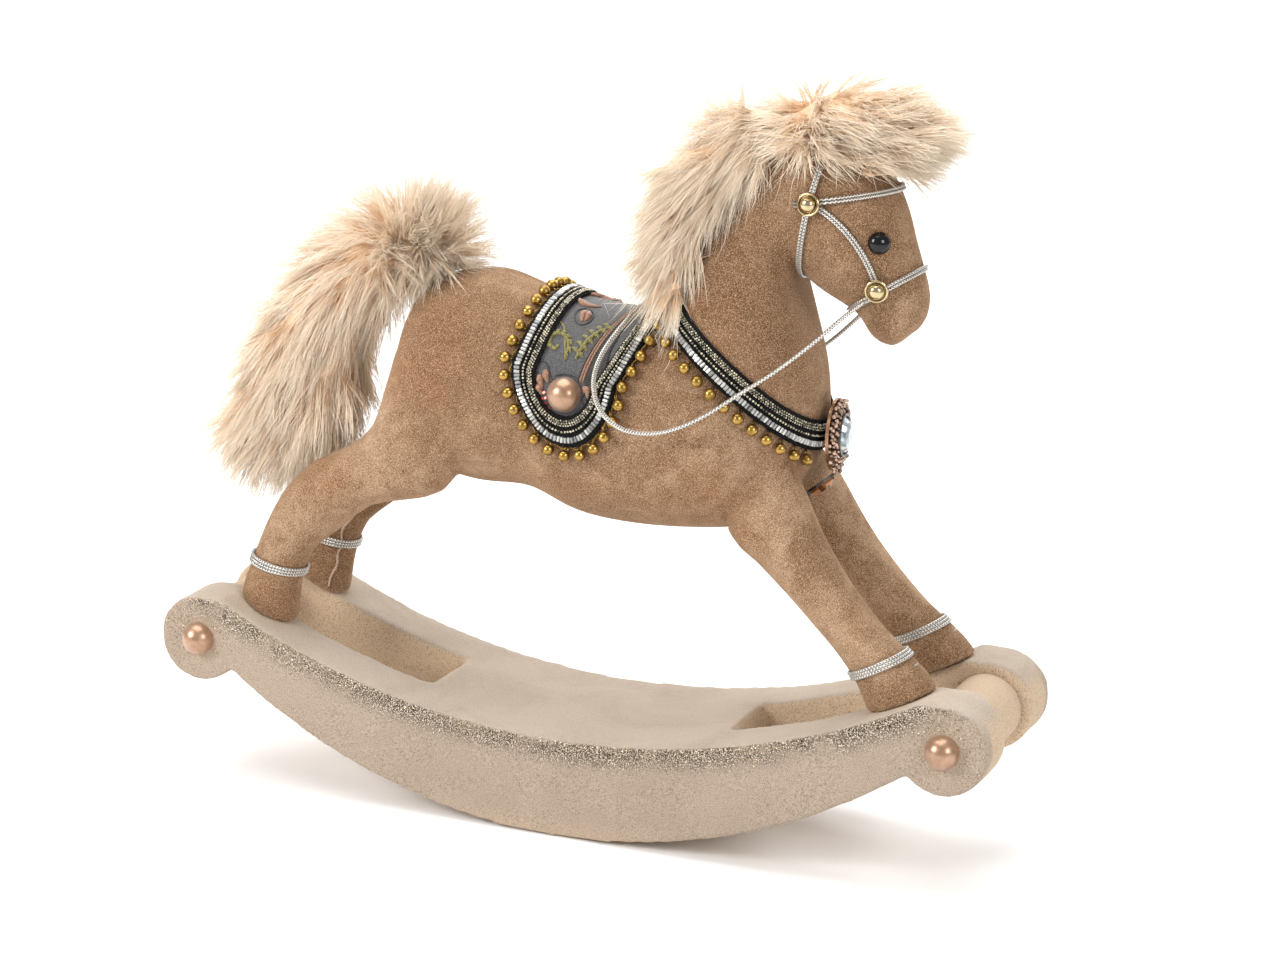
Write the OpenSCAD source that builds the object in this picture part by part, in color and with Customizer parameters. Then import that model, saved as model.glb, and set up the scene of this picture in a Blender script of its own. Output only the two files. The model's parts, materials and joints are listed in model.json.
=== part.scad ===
// Table-top rocking horse: velvet horse with fur mane and tail on a velvet rocker.
// +X is the way the horse faces, +Y its left side, +Z up. The origin lies under
// the middle of the rocker, on the surface it stands on.

/* [Rocker] */
// Length over the scroll ends
rocker_len = 335; // [280:5:400]
// Width over the two rails
rocker_w = 80; // [68:1:96]
// Thickness of one rail
rail_t = 23.5; // [18:1:30]
// Radius of the curved sole
sole_r = 229; // [210:2:300]
// Depth of the rail at mid length
mid_depth = 38.5; // [32:0.5:46]
// Radius of the scroll ends
scroll_r = 17; // [14:0.5:20]
// Height of the scroll centres above the ground
scroll_z = 56.5; // [50:0.5:62]
// Radius of the round cross bars
bar_r = 13; // [9:0.5:14]

/* [Horse] */
// Height of the horse above the deck, as a share of the standard one
horse_h = 1; // [0.85:0.01:1.2]
// Width of the horse, as a share of the standard one
horse_w = 1; // [0.85:0.01:1.15]
// Thickness of the fur mane on the crest
mane_t = 21; // [12:1:28]

/* [Tack] */
// Width of the trim tape
tape_w = 9.4; // [8:0.2:11]
// Half width of the saddle flap
flap_r = 21; // [17:0.5:24]
// Length of the saddle measured over the back
saddle_len = 132; // [110:2:144]
// Diameter of the gold fringe balls
ball_d = 4.4; // [3:0.1:5]
// Diameter of the domed pearls
pearl_d = 13; // [8:0.2:14]
// Thickness of the silver cord
cord_d = 2; // [1.4:0.1:2.4]

/* [Hidden] */
$fn = 48;
deck_top = mid_depth;
top_r = 305;
scroll_x = rocker_len / 2 - scroll_r;
rail_in = rocker_w / 2 - rail_t;
slot_x = 62;
sx = scroll_x / 150;
// Distance of a hoof's middle from the rail's inner face
hoof_seat = 7;
leg_y = rail_in + hoof_seat;

// ---- Shape tools ----
// A section row is [top x, top z, bottom x, bottom z, middle y, half width],
// with x from the rocker's middle and z from the top of the deck.
function scaled(rows) = [for (r = rows)
    [r[0] * sx, deck_top + r[1] * horse_h, r[2] * sx, deck_top + r[3] * horse_h, r[4], r[5] * horse_w]];
// Catmull-Rom blend of four rows
function blend(a, b, c, d, t) = 0.5 * (2 * b + (c - a) * t + (2 * a - 5 * b + 4 * c - d) * t * t
    + (3 * b - a - 3 * c + d) * t * t * t);
// Section row at position u along the list of rows
function row_at(rows, u) =
    let (last = len(rows) - 1, i = max(0, min(last - 1, floor(u))))
    blend(rows[max(0, i - 1)], rows[i], rows[i + 1], rows[min(last, i + 2)], u - i);
function unit(v) = v / max(norm(v), 0.000001);
function power(v, e) = sign(v) * pow(abs(v), e);
// Point on the section at angle phi: 0 is the top, 90 the right side, 180 the bottom
function on_row(r, phi, grow = 0, full = 1) =
    let (mid = [(r[0] + r[2]) / 2, r[4], (r[1] + r[3]) / 2])
    let (arm = [(r[0] - r[2]) / 2, 0, (r[1] - r[3]) / 2])
    mid + unit(arm) * (norm(arm) + grow) * power(cos(phi), full)
    + [0, -(r[5] + grow) * power(sin(phi), full), 0];
function surf(rows, u, phi, full = 1) = on_row(row_at(rows, u), phi, 0, full);
// Outward direction of the surface
function outward(rows, u, phi, full = 1) =
    let (round_it = surf(rows, u, phi + 2, full) - surf(rows, u, phi - 2, full))
    unit(cross(round_it, surf(rows, u + 0.05, phi, full) - surf(rows, u - 0.05, phi, full)));
function above(rows, u, phi, h, full = 1) = surf(rows, u, phi, full) + h * outward(rows, u, phi, full);
// Position u where the section at angle phi meets the plane n . p = d
function u_on_plane(rows, phi, n, d, lo, hi, full = 1, k = 14) =
    let (mid = (lo + hi) / 2)
    k == 0 ? mid : n * surf(rows, mid, phi, full) < d
        ? u_on_plane(rows, phi, n, d, mid, hi, full, k - 1)
        : u_on_plane(rows, phi, n, d, lo, mid, full, k - 1);

// Faces turned over if they would enclose a negative volume
function outside_out(points, faces) =
    let (twist = [for (f = faces) cross(points[f[0]], points[f[1]]) * points[f[2]]])
    twist * [for (f = faces) 1] > 0 ? [for (f = faces) [f[2], f[1], f[0]]] : faces;
// Closed skin through sections that all have the same number of points.
// closed joins the last section to the first; flat_caps closes the ends as a strip.
module skin(secs, closed = false, strip = false) {
    n = len(secs);
    m = len(secs[0]);
    half = m / 2;
    sides = [for (i = [0 : closed ? n - 1 : n - 2]) for (j = [0 : m - 1])
        let (a = i * m, b = ((i + 1) % n) * m, k = (j + 1) % m)
        each [[a + j, b + j, a + k], [a + k, b + j, b + k]]];
    fan = [for (j = [1 : m - 2]) each [[0, j, j + 1],
        [(n - 1) * m, (n - 1) * m + j + 1, (n - 1) * m + j]]];
    ribs = [for (j = [0 : half - 2]) let (e = (n - 1) * m, p = j, q = j + 1, r = m - 2 - j, s = m - 1 - j)
        each [[p, q, r], [p, r, s], [e + p, e + r, e + q], [e + p, e + s, e + r]]];
    points = [for (s = secs) each s];
    faces = concat(sides, closed ? [] : strip ? ribs : fan);
    polyhedron(points = points, faces = outside_out(points, faces), convexity = 8);
}
// Loft through section rows, steps rings between two rows, sides points round it
module loft(rows, steps, sides, grow = 0, full = 1) {
    count = (len(rows) - 1) * steps;
    skin([for (i = [0 : count]) let (r = row_at(rows, i / steps))
        [for (j = [0 : sides - 1]) on_row(r, 360 * j / sides, grow, full)]]);
}
// Round tube along points, carried along without twisting
function tangents(pts, closed) = let (n = len(pts))
    [for (i = [0 : n - 1]) unit(pts[closed ? (i + 1) % n : min(n - 1, i + 1)]
        - pts[closed ? (i + n - 1) % n : max(0, i - 1)])];
function carried(ts, up) = [for (i = 0, s = unit(cross(ts[0], up)); i < len(ts);
    i = i + 1, s = i < len(ts) ? unit(s - (s * ts[i]) * ts[i]) : s) s];
module tube(pts, d, sides = 8, closed = false, up = [0, 0.02, 1]) {
    ts = tangents(pts, closed);
    ss = carried(ts, up);
    skin([for (i = [0 : len(pts) - 1]) [for (j = [0 : sides - 1])
        let (a = 360 * j / sides, out = ss[i] * cos(a) - cross(ts[i], ss[i]) * sin(a)) pts[i] + out * d / 2]],
        closed);
}
// Mirror image on the horse's left side
module left_side() {
    mirror([0, 1, 0]) children();
}
module y_cyl(r, y0, y1, x, z) {
    translate([x, y0, z]) rotate([-90, 0, 0]) cylinder(r = r, h = y1 - y0);
}
// Low dome whose flat back lies on the XY plane
module dome(d, h) {
    ball_r = (d * d / 4 + h * h) / (2 * h);
    intersection() {
        translate([0, 0, h - ball_r]) sphere(r = ball_r);
        cylinder(d = d + 2, h = h + 1);
    }
}

// ---- Rocker ----
module rocker_band(y0, y1, sole, reach) {
    difference() {
        intersection() {
            y_cyl(sole, y0, y1, 0, sole_r, $fn = 96);
            translate([-reach, y0, 0]) cube([2 * reach, y1 - y0, scroll_z + scroll_r]);
        }
        y_cyl(top_r, y0 - 1, y1 + 1, 0, mid_depth + top_r, $fn = 96);
    }
}
module pin_holes(d) {
    for (x = [-scroll_x, scroll_x]) y_cyl(d / 2, -dowel_y, dowel_y, x, scroll_z);
    for (x = [-deck_pin_x, deck_pin_x]) y_cyl(d / 2, -dowel_y, dowel_y, x, deck_pin_z);
}
dowel_d = 8;
dowel_skin = 7;
dowel_y = rocker_w / 2 - dowel_skin;
deck_pin_in = 14;
deck_pin_x = slot_x - deck_pin_in;
deck_pin_z = 23.9;
deck_step = 4;
module rail_right() {
    difference() {
        union() {
            rocker_band(-rocker_w / 2, -rail_in, sole_r, scroll_x);
            for (x = [-scroll_x, scroll_x]) y_cyl(scroll_r, -rocker_w / 2, -rail_in, x, scroll_z);
        }
        pin_holes(dowel_d);
        hoof_bores();
    }
}
module rocker_rail_right() {
    color("tan") rail_right();
}
module rocker_rail_left() {
    color("tan") left_side() rail_right();
}
module rocker_deck() {
    color("wheat") difference() {
        rocker_band(-rail_in, rail_in, sole_r - deck_step, slot_x);
        pin_holes(dowel_d);
    }
}
module crossbar(x) {
    difference() {
        y_cyl(bar_r, -rail_in, rail_in, x, scroll_z);
        pin_holes(dowel_d);
    }
}
module front_crossbar() {
    color("tan") crossbar(scroll_x);
}
module rear_crossbar() {
    color("tan") crossbar(-scroll_x);
}
module rocker_dowels() {
    color("burlywood") pin_holes(dowel_d);
}
module rocker_pearls() {
    color("rosybrown") for (s = [-1, 1], x = [-scroll_x, scroll_x])
        translate([x, s * rocker_w / 2, scroll_z]) rotate([s * -90, 0, 0]) dome(pearl_d, pearl_h);
}

// ---- Horse ----
body_rows = scaled([
    [-75, 142, -79, 123, 0, 9],
    [-71, 157, -79, 106, 0, 22],
    [-58, 165, -72, 92, 0, 30],
    [-42, 167, -48, 86, 0, 33],
    [-24, 162, -24, 86, 0, 33],
    [-4, 158, -4, 79, 0, 34],
    [16, 157, 16, 77, 0, 35],
    [33, 163, 40, 78, 0, 35],
    [37, 174, 62, 82, 0, 34],
    [40, 185, 78, 95, 0, 31],
    [43, 195, 87, 113, 0, 27],
    [48, 204, 88, 134, 0, 22.5],
    [54, 212, 83, 153, 0, 19],
    [62, 219, 77, 168, 0, 17],
    [71, 224, 76, 179, 0, 16]]);
neck_end = len(body_rows) - 1;
barrel_full = 0.94;
head_rows = scaled([
    [71.5, 224.6, 76.6, 179.4, 0, 16],
    [82, 228.5, 82.5, 174, 0, 16.8],
    [96, 226.5, 88, 170.5, 0, 17.6],
    [108, 217.5, 94, 167.5, 0, 17],
    [115, 205, 100, 164, 0, 15.5],
    [119, 193, 103, 160, 0, 13.5],
    [122.5, 183, 105, 157, 0, 12],
    [125, 174, 109, 154.5, 0, 11.2],
    [124.5, 166, 114, 154, 0, 9],
    [121.5, 160, 118.5, 158, 0, 4]]);
// Leg rows are drawn for hooves 23.5 mm off the middle line
standard_leg_y = 23.5;
function leg_rows(rows) = [for (r = scaled(rows))
    [r[0], r[1], r[2], r[3], r[4] * leg_y / standard_leg_y, r[5]]];
hind_rows = leg_rows([
    [-77, 136, -50, 118, -16, 8],
    [-80, 121, -46, 100, -19, 12],
    [-84, 107, -55, 84, -20.5, 13],
    [-95, 97, -70, 79, -21, 12.5],
    [-109, 90, -85, 75, -21.5, 11.3],
    [-121, 78, -98, 64, -22, 10],
    [-129.5, 62, -109, 55, -22.5, 9.2],
    [-135, 48, -114, 44, -22.5, 8.8],
    [-139.5, 36, -116, 34, -22, 10],
    [-140, 20, -118, 18, -21.5, 9.5]]);
fore_rows = leg_rows([
    [80, 112, 62, 102, -14, 7],
    [88, 100, 59, 83, -18, 11.5],
    [95, 87, 72, 73, -20, 11.8],
    [103, 75, 84, 63, -21, 10.8],
    [113, 63, 96, 52, -22, 9.8],
    [123, 53, 105, 43, -22.5, 9.2],
    [133, 45, 112, 34, -23, 9.6],
    [142, 36, 117, 24, -23.5, 10.8],
    [146, 24, 121, 12, -23.5, 10.8]]);
leg_sides = 20;
hoof_gap = 0.2;
leg_gap = 0.3;
leg_dowel_d = 8;
module leg(rows, pin_x) {
    difference() {
        intersection() {
            loft(rows, 2, leg_sides);
            y_cyl(top_r - hoof_gap, -rocker_w, 0, 0, mid_depth + top_r, $fn = 96);
        }
        for (x = [-scroll_x, scroll_x]) y_cyl(scroll_r + hoof_gap, -rocker_w, 0, x, scroll_z);
        leg_dowel_shape();
        hoof_pin(pin_x);
    }
}
function rail_top(x) = mid_depth + top_r - sqrt(top_r * top_r - x * x);
hind_pin_x = -127 * sx;
fore_pin_x = 132 * sx;
pin_d = 5;
pin_len = 30;
pin_depth = 16.5;
module hoof_pin(x) {
    translate([x, -leg_y, rail_top(x) - pin_depth]) cylinder(d = pin_d, h = pin_len);
}
module hoof_bores() {
    hoof_pin(hind_pin_x);
    hoof_pin(fore_pin_x);
}
hip = [-64 * sx, deck_top + 104 * horse_h];
shoulder = [73 * sx, deck_top + 97 * horse_h];
module leg_dowel_shape() {
    for (p = [hip, shoulder]) y_cyl(leg_dowel_d / 2, -leg_y, leg_y, p[0], p[1]);
}
function neck_mid() = let (r = body_rows[neck_end]) [(r[0] + r[2]) / 2, 0, (r[1] + r[3]) / 2];
neck_dowel_d = 8;
neck_dowel_half = 14;
module neck_peg() {
    r = body_rows[neck_end];
    reach = neck_dowel_half * unit([r[1] - r[3], 0, r[2] - r[0]]);
    rod(neck_mid() - reach, neck_mid() + reach, neck_dowel_d);
}
tail_root = [-57 * sx, 0, deck_top + 148 * horse_h];
tail_peg_end = [-77 * sx, 0, deck_top + 172 * horse_h];
// Rod from a to b, with a ball at its end if one is given
module rod(a, b, d, ball = 0) {
    v = b - a;
    translate(a) rotate([0, acos(v[2] / norm(v)), atan2(v[1], v[0])]) {
        cylinder(d = d, h = norm(v));
        if (ball > 0) translate([0, 0, norm(v)]) sphere(d = ball);
    }
}
tail_peg_d = 5;
module tail_peg() {
    rod(tail_root, tail_peg_end, tail_peg_d);
}
module body() {
    color("tan") difference() {
        loft(body_rows, 2, 32, 0, barrel_full);
        loft(hind_rows, 2, leg_sides, leg_gap);
        left_side() loft(hind_rows, 2, leg_sides, leg_gap);
        loft(fore_rows, 2, leg_sides, leg_gap);
        left_side() loft(fore_rows, 2, leg_sides, leg_gap);
        leg_dowel_shape();
        neck_peg();
        tail_peg();
    }
}
module head() {
    color("tan") difference() {
        loft(head_rows, 3, 28);
        neck_peg();
    }
}
module right_hind_leg() {
    color("tan") leg(hind_rows, hind_pin_x);
}
module left_hind_leg() {
    color("tan") left_side() leg(hind_rows, hind_pin_x);
}
module right_fore_leg() {
    color("tan") leg(fore_rows, fore_pin_x);
}
module left_fore_leg() {
    color("tan") left_side() leg(fore_rows, fore_pin_x);
}
module leg_dowels() {
    color("burlywood") leg_dowel_shape();
}
module hoof_pins() {
    color("silver") hoof_bores();
    color("silver") left_side() hoof_bores();
}
module neck_dowel() {
    color("burlywood") neck_peg();
}

// ---- Fur ----
tail_rows = scaled([
    [-59, 169.5, -70, 162, 0, 6],
    [-66, 181, -80, 162, 0, 11],
    [-84, 186, -86, 153, 0, 16],
    [-106, 176, -95, 138, 0, 18],
    [-126, 158, -99, 124, 0, 19],
    [-142, 136, -100, 110, 0, 18],
    [-153, 112, -104, 98, 0, 16],
    [-157, 94, -118, 88, 0, 12],
    [-150, 84, -136, 83, 0, 6]]);
module tail_core() {
    color("burlywood") tail_peg();
}
module tail_fur() {
    color("antiquewhite") difference() {
        loft(tail_rows, 2, 20);
        tail_peg();
    }
}
// Fur pad that grows out of a surface, thickest along its middle line
module fur_pad(rows, u0, u1, spread, thick, grow, n_u, n_phi, full = 1) {
    skin([for (i = [0 : n_u])
        let (t = i / n_u, u = u0 + (u1 - u0) * t, bulk = thick * (0.72 + 0.28 * sin(180 * t) + grow * t))
        concat(
            [for (j = [0 : n_phi]) let (f = 2 * j / n_phi - 1)
                above(rows, u, spread * f, lift + pad_edge + bulk * pow(1 - pow(abs(f), 2.4), 0.6), full)],
            [for (j = [n_phi : -1 : 0]) let (f = 2 * j / n_phi - 1)
                above(rows, u, spread * f, lift, full)])], false, true);
}
lift = 0.35;
pad_edge = 2;
mane_start = 8;
mane_spread = 40;
module mane() {
    color("antiquewhite")
        fur_pad(body_rows, mane_start, neck_end, mane_spread, mane_t, -0.12, 12, 10, barrel_full);
}
forelock_spread = 46;
forelock_t = 13;
module forelock() {
    color("antiquewhite") fur_pad(head_rows, 0.25, 2.9, forelock_spread, forelock_t, 0.75, 8, 10);
}

// ---- Things that sit on a surface ----
// Stands children on the surface with their Z axis along its outward direction
module on_surface(rows, u, phi, h, full = 1) {
    n = outward(rows, u, phi, full);
    translate(above(rows, u, phi, h, full)) rotate([0, acos(n[2]), atan2(n[1], n[0])]) children();
}
module both_sides() {
    children();
    left_side() children();
}
eye_d = 8.2;
eye_h = 3.6;
seat_gap = 0.15;
module eye() {
    on_surface(head_rows, 4, 66, seat_gap) dome(eye_d, eye_h);
}
module right_eye() {
    color("black") eye();
}
module left_eye() {
    color("black") left_side() eye();
}

// ---- Trim tape rows, as shares of the tape width from the fringe edge ----
panel_t = 0.8;
tape_t = 0.8;
bugle_at = 0.25;
ball_at = 0.51;
seed_at = 0.77;
bugle_d = 2.3;
tiny_d = 1;
seed_d = 2.3;
stem_out = 0.8;

// ---- Saddle ----
barrel_r = 38.5 * (horse_w + horse_h) / 2;
flap_q = saddle_len / 2 - flap_r;
// The saddle widens and moves forward towards the top of the back
saddle_shift = 9;
saddle_widen = 4;
// Its front edge stays this far behind the withers
saddle_behind = 7;
withers_x = 40 * sx;
saddle_front = withers_x - saddle_behind;
saddle_x = saddle_front - flap_r - saddle_widen - saddle_shift;
function top_share(q) = max(0, 1 - pow(q / flap_q, 2));
function saddle_mid(q) = saddle_x + saddle_shift * top_share(q);
function saddle_half(q) = flap_r + saddle_widen * top_share(q);
// Point on the back at x, q millimetres down the side, h above the surface
function on_barrel(x, q, h) =
    let (phi = q / barrel_r * 180 / PI)
    let (u = u_on_plane(body_rows, phi, [1, 0, 0], x, 2.2, 8.5, barrel_full))
    above(body_rows, u, phi, h, barrel_full);
// Saddle outline, moved inwards by inset
function saddle_outline(inset, n_side, n_arc) = concat(
    [for (i = [0 : n_side - 1]) let (q = flap_q * (2 * i / n_side - 1))
        [saddle_mid(q) + saddle_half(q) - inset, q]],
    [for (i = [0 : n_arc - 1]) let (a = 180 * i / n_arc)
        [saddle_x + (flap_r - inset) * cos(a), flap_q + (flap_r - inset) * sin(a)]],
    [for (i = [0 : n_side - 1]) let (q = flap_q * (1 - 2 * i / n_side))
        [saddle_mid(q) - saddle_half(q) + inset, q]],
    [for (i = [0 : n_arc - 1]) let (a = 180 + 180 * i / n_arc)
        [saddle_x + (flap_r - inset) * cos(a), -flap_q + (flap_r - inset) * sin(a)]]);
side_steps = 16;
arc_steps = 12;
panel_edge = 1.2;
flap_end = 0.985;
function saddle_loop(inset, h) =
    [for (p = saddle_outline(inset, side_steps, arc_steps)) on_barrel(p[0], p[1], h)];
module saddle_panel() {
    reach = flap_q + (flap_r - panel_edge) * flap_end;
    steps = 30;
    color("slategray") skin([for (i = [0 : steps])
        let (q = reach * (2 * i / steps - 1), over = max(0, abs(q) - flap_q), r = flap_r - panel_edge)
        let (half = over > 0 ? sqrt(max(0.1, r * r - over * over)) : saddle_half(q) - panel_edge)
        concat(
            [for (j = [0 : 4]) on_barrel(saddle_mid(q) + half * (j / 2 - 1), q, lift + panel_t)],
            [for (j = [4 : -1 : 0]) on_barrel(saddle_mid(q) + half * (j / 2 - 1), q, lift)])], false, true);
}
tape_gap = 0.4;
saddle_tape_h = lift + panel_t + tape_gap;
row_gap = 0.4;
module saddle_tape() {
    outer = saddle_outline(0, side_steps, arc_steps);
    inner = saddle_outline(tape_w, side_steps, arc_steps);
    color("dimgray") skin([for (i = [0 : 2 * (side_steps + arc_steps) - 1]) let (a = outer[i], b = inner[i])
        [on_barrel(a[0], a[1], saddle_tape_h), on_barrel(a[0], a[1], saddle_tape_h + tape_t),
            on_barrel(b[0], b[1], saddle_tape_h + tape_t), on_barrel(b[0], b[1], saddle_tape_h)]], true);
}
module saddle_row(share, d) {
    tube(saddle_loop(tape_w * share, saddle_tape_h + tape_t + d / 2 + row_gap), d, 6, true, [1, 0, 0.01]);
}
module saddle_bugle_row() {
    color("silver") saddle_row(bugle_at, bugle_d);
}
module saddle_ball_row() {
    color("silver") saddle_row(ball_at, tiny_d);
}
module saddle_seed_row() {
    color("peru") saddle_row(seed_at, seed_d);
}
// Balls on short wired stems, evenly spaced between two lines of points
function run_length(pts) = [for (i = 0, s = 0; i < len(pts);
    s = s + norm(pts[min(i + 1, len(pts) - 1)] - pts[i]), i = i + 1) s];
function evenly(pts, count) =
    let (run = run_length(pts), total = run[len(run) - 1])
    [for (k = [0 : count]) [for (c = [0 : 2])
        lookup(total * k / count, [for (i = [0 : len(pts) - 1]) [run[i], pts[i][c]]])]];
module fringe(edge, line, count) {
    roots = evenly(edge, count);
    balls = evenly(line, count);
    for (k = [0 : count - 1]) if (balls[k][0] < mane_foot_x || abs(balls[k][1]) > mane_foot_y) {
        rod(roots[k], balls[k], stem_d, ball_d);
    }
}
// The mane lies on the saddle here, so the fringe stops on both sides of it
mane_foot_x = 20 * sx;
mane_foot_y = 14 * horse_w;
fringe_pitch = 6.6;
stem_d = 0.9;
edge_out = 0.15;
ball_gap = 0.5;
module saddle_fringe() {
    edge = saddle_loop(-edge_out, saddle_tape_h + tape_t / 2);
    line = saddle_loop(-stem_out - ball_d / 2, ball_d / 2 + ball_gap);
    run = run_length(line);
    color("goldenrod") fringe(concat(edge, [edge[0]]), concat(line, [line[0]]),
        round(run[len(run) - 1] / fringe_pitch));
}
// The pearl sits inside the tape's curve at the flap's end
pearl_h = 6.3;
pearl_gap = 0.6;
pearl_ahead = 1;
pearl_q = flap_q + flap_r - tape_w - pearl_gap - pearl_d / 2;
module saddle_pearls() {
    color("rosybrown") both_sides() {
        phi = pearl_q / barrel_r * 180 / PI;
        u = u_on_plane(body_rows, phi, [1, 0, 0], saddle_x + pearl_ahead, 2.2, 8.5, barrel_full);
        on_surface(body_rows, u, phi, saddle_tape_h, barrel_full) dome(pearl_d, pearl_h);
    }
}

// ---- Breast collar: a band along a sloping plane round the chest ----
collar_n = unit([41 * horse_h, 0, 47 * sx]);
collar_d = collar_n * [87.5 * sx, 0, deck_top + 119 * horse_h];
collar_start = 42;
function on_chest(phi, along, h) =
    let (u = u_on_plane(body_rows, phi, collar_n, collar_d + along, 5, 13, barrel_full))
    above(body_rows, u, phi, h, barrel_full);
collar_steps = 36;
function collar_line(along, h, start = collar_start, steps = collar_steps) =
    [for (i = [0 : steps]) on_chest(start + (360 - 2 * start) * i / steps, along, h)];
module collar_tape() {
    low = -tape_w / 2;
    color("dimgray") skin([for (i = [0 : collar_steps])
        let (phi = collar_start + (360 - 2 * collar_start) * i / collar_steps)
        [on_chest(phi, low, lift), on_chest(phi, low, lift + tape_t),
            on_chest(phi, -low, lift + tape_t), on_chest(phi, -low, lift)]]);
}
module collar_row(share, d) {
    tube(collar_line(tape_w * (share - 0.5), lift + tape_t + d / 2 + row_gap), d, 6, false, [1, 0, 0.01]);
}
module collar_bugle_row() {
    color("silver") collar_row(bugle_at, bugle_d);
}
module collar_ball_row() {
    color("silver") collar_row(ball_at, tiny_d);
}
module collar_seed_row() {
    color("peru") collar_row(seed_at, seed_d);
}
module collar_fringe() {
    first = 52;
    last = 168;
    steps = 16;
    function part_line(along, h) =
        [for (i = [0 : steps]) on_chest(first + (last - first) * i / steps, along, h)];
    edge = part_line(-tape_w / 2 - edge_out, lift + tape_t / 2);
    line = part_line(-tape_w / 2 - stem_out - ball_d / 2, ball_d / 2 + ball_gap);
    run = run_length(line);
    color("goldenrod") both_sides() fringe(edge, line, round(run[len(run) - 1] / fringe_pitch));
}

// ---- Brooch on the collar ----
brooch_w = 21;
brooch_h = 27;
plate_t = 1.2;
setting_gap = 0.1;
bezel_w = 13;
bezel_h = 16.5;
bezel_t = 3;
bezel_floor = 0.6;
crystal_w = 10.5;
crystal_h = 14;
crystal_gap = 0.2;
ring_w = 17.2;
ring_h = 22.4;
brooch_bead_d = 2.3;
brooch_lift = lift + tape_t + bugle_d + 0.6;
module oval(w, h, t) {
    linear_extrude(height = t) polygon([for (a = [0 : 11.25 : 348]) [h / 2 * cos(a), w / 2 * sin(a)]]);
}
// Frame whose X axis points down the chest and whose Z axis points out of it
module at_brooch(out) {
    base = on_chest(180, 0, 0);
    translate(base + [brooch_lift + out, 0, 0]) rotate([0, 90, 0]) children();
}
bezel_out = plate_t + setting_gap;
module brooch_plate() {
    color("sienna") at_brooch(0) oval(brooch_w, brooch_h, plate_t);
}
module brooch_bezel() {
    color("dimgray") at_brooch(bezel_out) difference() {
        oval(bezel_w, bezel_h, bezel_t);
        translate([0, 0, bezel_floor])
            oval(crystal_w + 2 * crystal_gap, crystal_h + 2 * crystal_gap, bezel_t);
    }
}
module brooch_crystal() {
    rings = [[1, 0], [1, 1.6], [0.74, 3.6], [0.45, 4.2]];
    color("white") at_brooch(bezel_out + bezel_floor + setting_gap) skin([for (r = rings)
        [for (a = [0 : 22.5 : 338]) [crystal_h / 2 * r[0] * cos(a), crystal_w / 2 * r[0] * sin(a), r[1]]]]);
}
module brooch_beads() {
    count = 18;
    color("rosybrown") at_brooch(bezel_out + brooch_bead_d / 2) for (i = [0 : count - 1])
        translate([ring_h / 2 * cos(360 * i / count), ring_w / 2 * sin(360 * i / count), 0])
            sphere(d = brooch_bead_d, $fn = 24);
}
drop_top = [92 * sx, 0, deck_top + 104 * horse_h];
drop_low = [81 * sx, 0, deck_top + 95 * horse_h];
drop_len = 13;
drop_w = 6.6;
drop_rim = 1.4;
setting_t = 1;
function marquise(len, wid) =
    [for (a = [0 : 30 : 330]) [len / 2 * cos(a), wid / 2 * sin(a) * (1 - 0.25 * pow(cos(a), 2)), 0]];
module at_drop(out) {
    v = drop_low - drop_top;
    translate((drop_top + drop_low) / 2) rotate([0, atan2(-v[2], v[0]), 0]) translate([0, 0, out])
        children();
}
module topaz_drop() {
    rings = [[1, 0], [1, 0.8], [0.62, 2.4]];
    color("saddlebrown") at_drop(setting_t + setting_gap) skin([for (r = rings)
        [for (p = marquise(drop_len * r[0], drop_w * r[0])) p + [0, 0, r[1]]]]);
}
module topaz_setting() {
    color("dimgray") at_drop(0) skin([for (z = [0, setting_t])
        [for (p = marquise(drop_len + drop_rim, drop_w + drop_rim)) p + [0, 0, z]]]);
}

// ---- Bridle ----
cord_h = cord_d / 2 + seat_gap;
stud_d = 8.7;
stud_h = 3.2;
stud_gap = 0.4;
top_stud = [1.35, 81];
low_stud = [4.9, 93];
function on_head(p, h) = above(head_rows, p[0], p[1], h);
// Line round the head along a plane through two points of its middle section
function head_loop(a, b, lo, hi, first, last, steps) =
    let (n = unit([b[1] - a[1], 0, a[0] - b[0]]))
    [for (i = [0 : steps - 1]) let (phi = first + (last - first) * i / (steps - 1))
        above(head_rows, u_on_plane(head_rows, phi, n, n * [a[0], 0, a[1]], lo, hi), phi, cord_h)];
function spot(x, z) = [x * sx, deck_top + z * horse_h];
loop_steps = 24;
last_turn = 360 * (1 - 1 / loop_steps);
module browband() {
    color("silver") tube(head_loop(spot(86, 205.5), spot(114, 210.5), 0.8, 6, -68, 68, 18), cord_d, 6,
        false, [0, 0, 1]);
}
module noseband() {
    color("silver") tube(head_loop(spot(100, 168), spot(125, 184), 2, 8.5, 0, last_turn, loop_steps),
        cord_d, 6, true, [0, 0, 1]);
}
module throatlatch() {
    color("silver") tube(head_loop(spot(79.5, 178), spot(90, 228), 0.1, 4, 52, 308, loop_steps),
        cord_d, 6, false, [1, 0, 0]);
}
module cheek_straps() {
    steps = 10;
    color("silver") both_sides() tube([for (i = [0 : steps]) let (t = 0.1 + 0.8 * i / steps)
        on_head(top_stud * (1 - t) + low_stud * t, cord_h)], cord_d, 6, false, [0, 1, 0]);
}
module bridle_studs() {
    color("gold") both_sides() for (p = [top_stud, low_stud])
        on_surface(head_rows, p[0], p[1], cord_d + stud_gap) dome(stud_d, stud_h);
}
// Right half of the reins as [x, y, height above the deck], from the lower stud to the saddle
rein_points = [[107, -17, 172], [100, -19, 166], [91, -23, 157], [80, -29, 147], [68, -36, 138],
    [54, -40.5, 128], [40, -42, 122], [27, -43, 122]];
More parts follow.
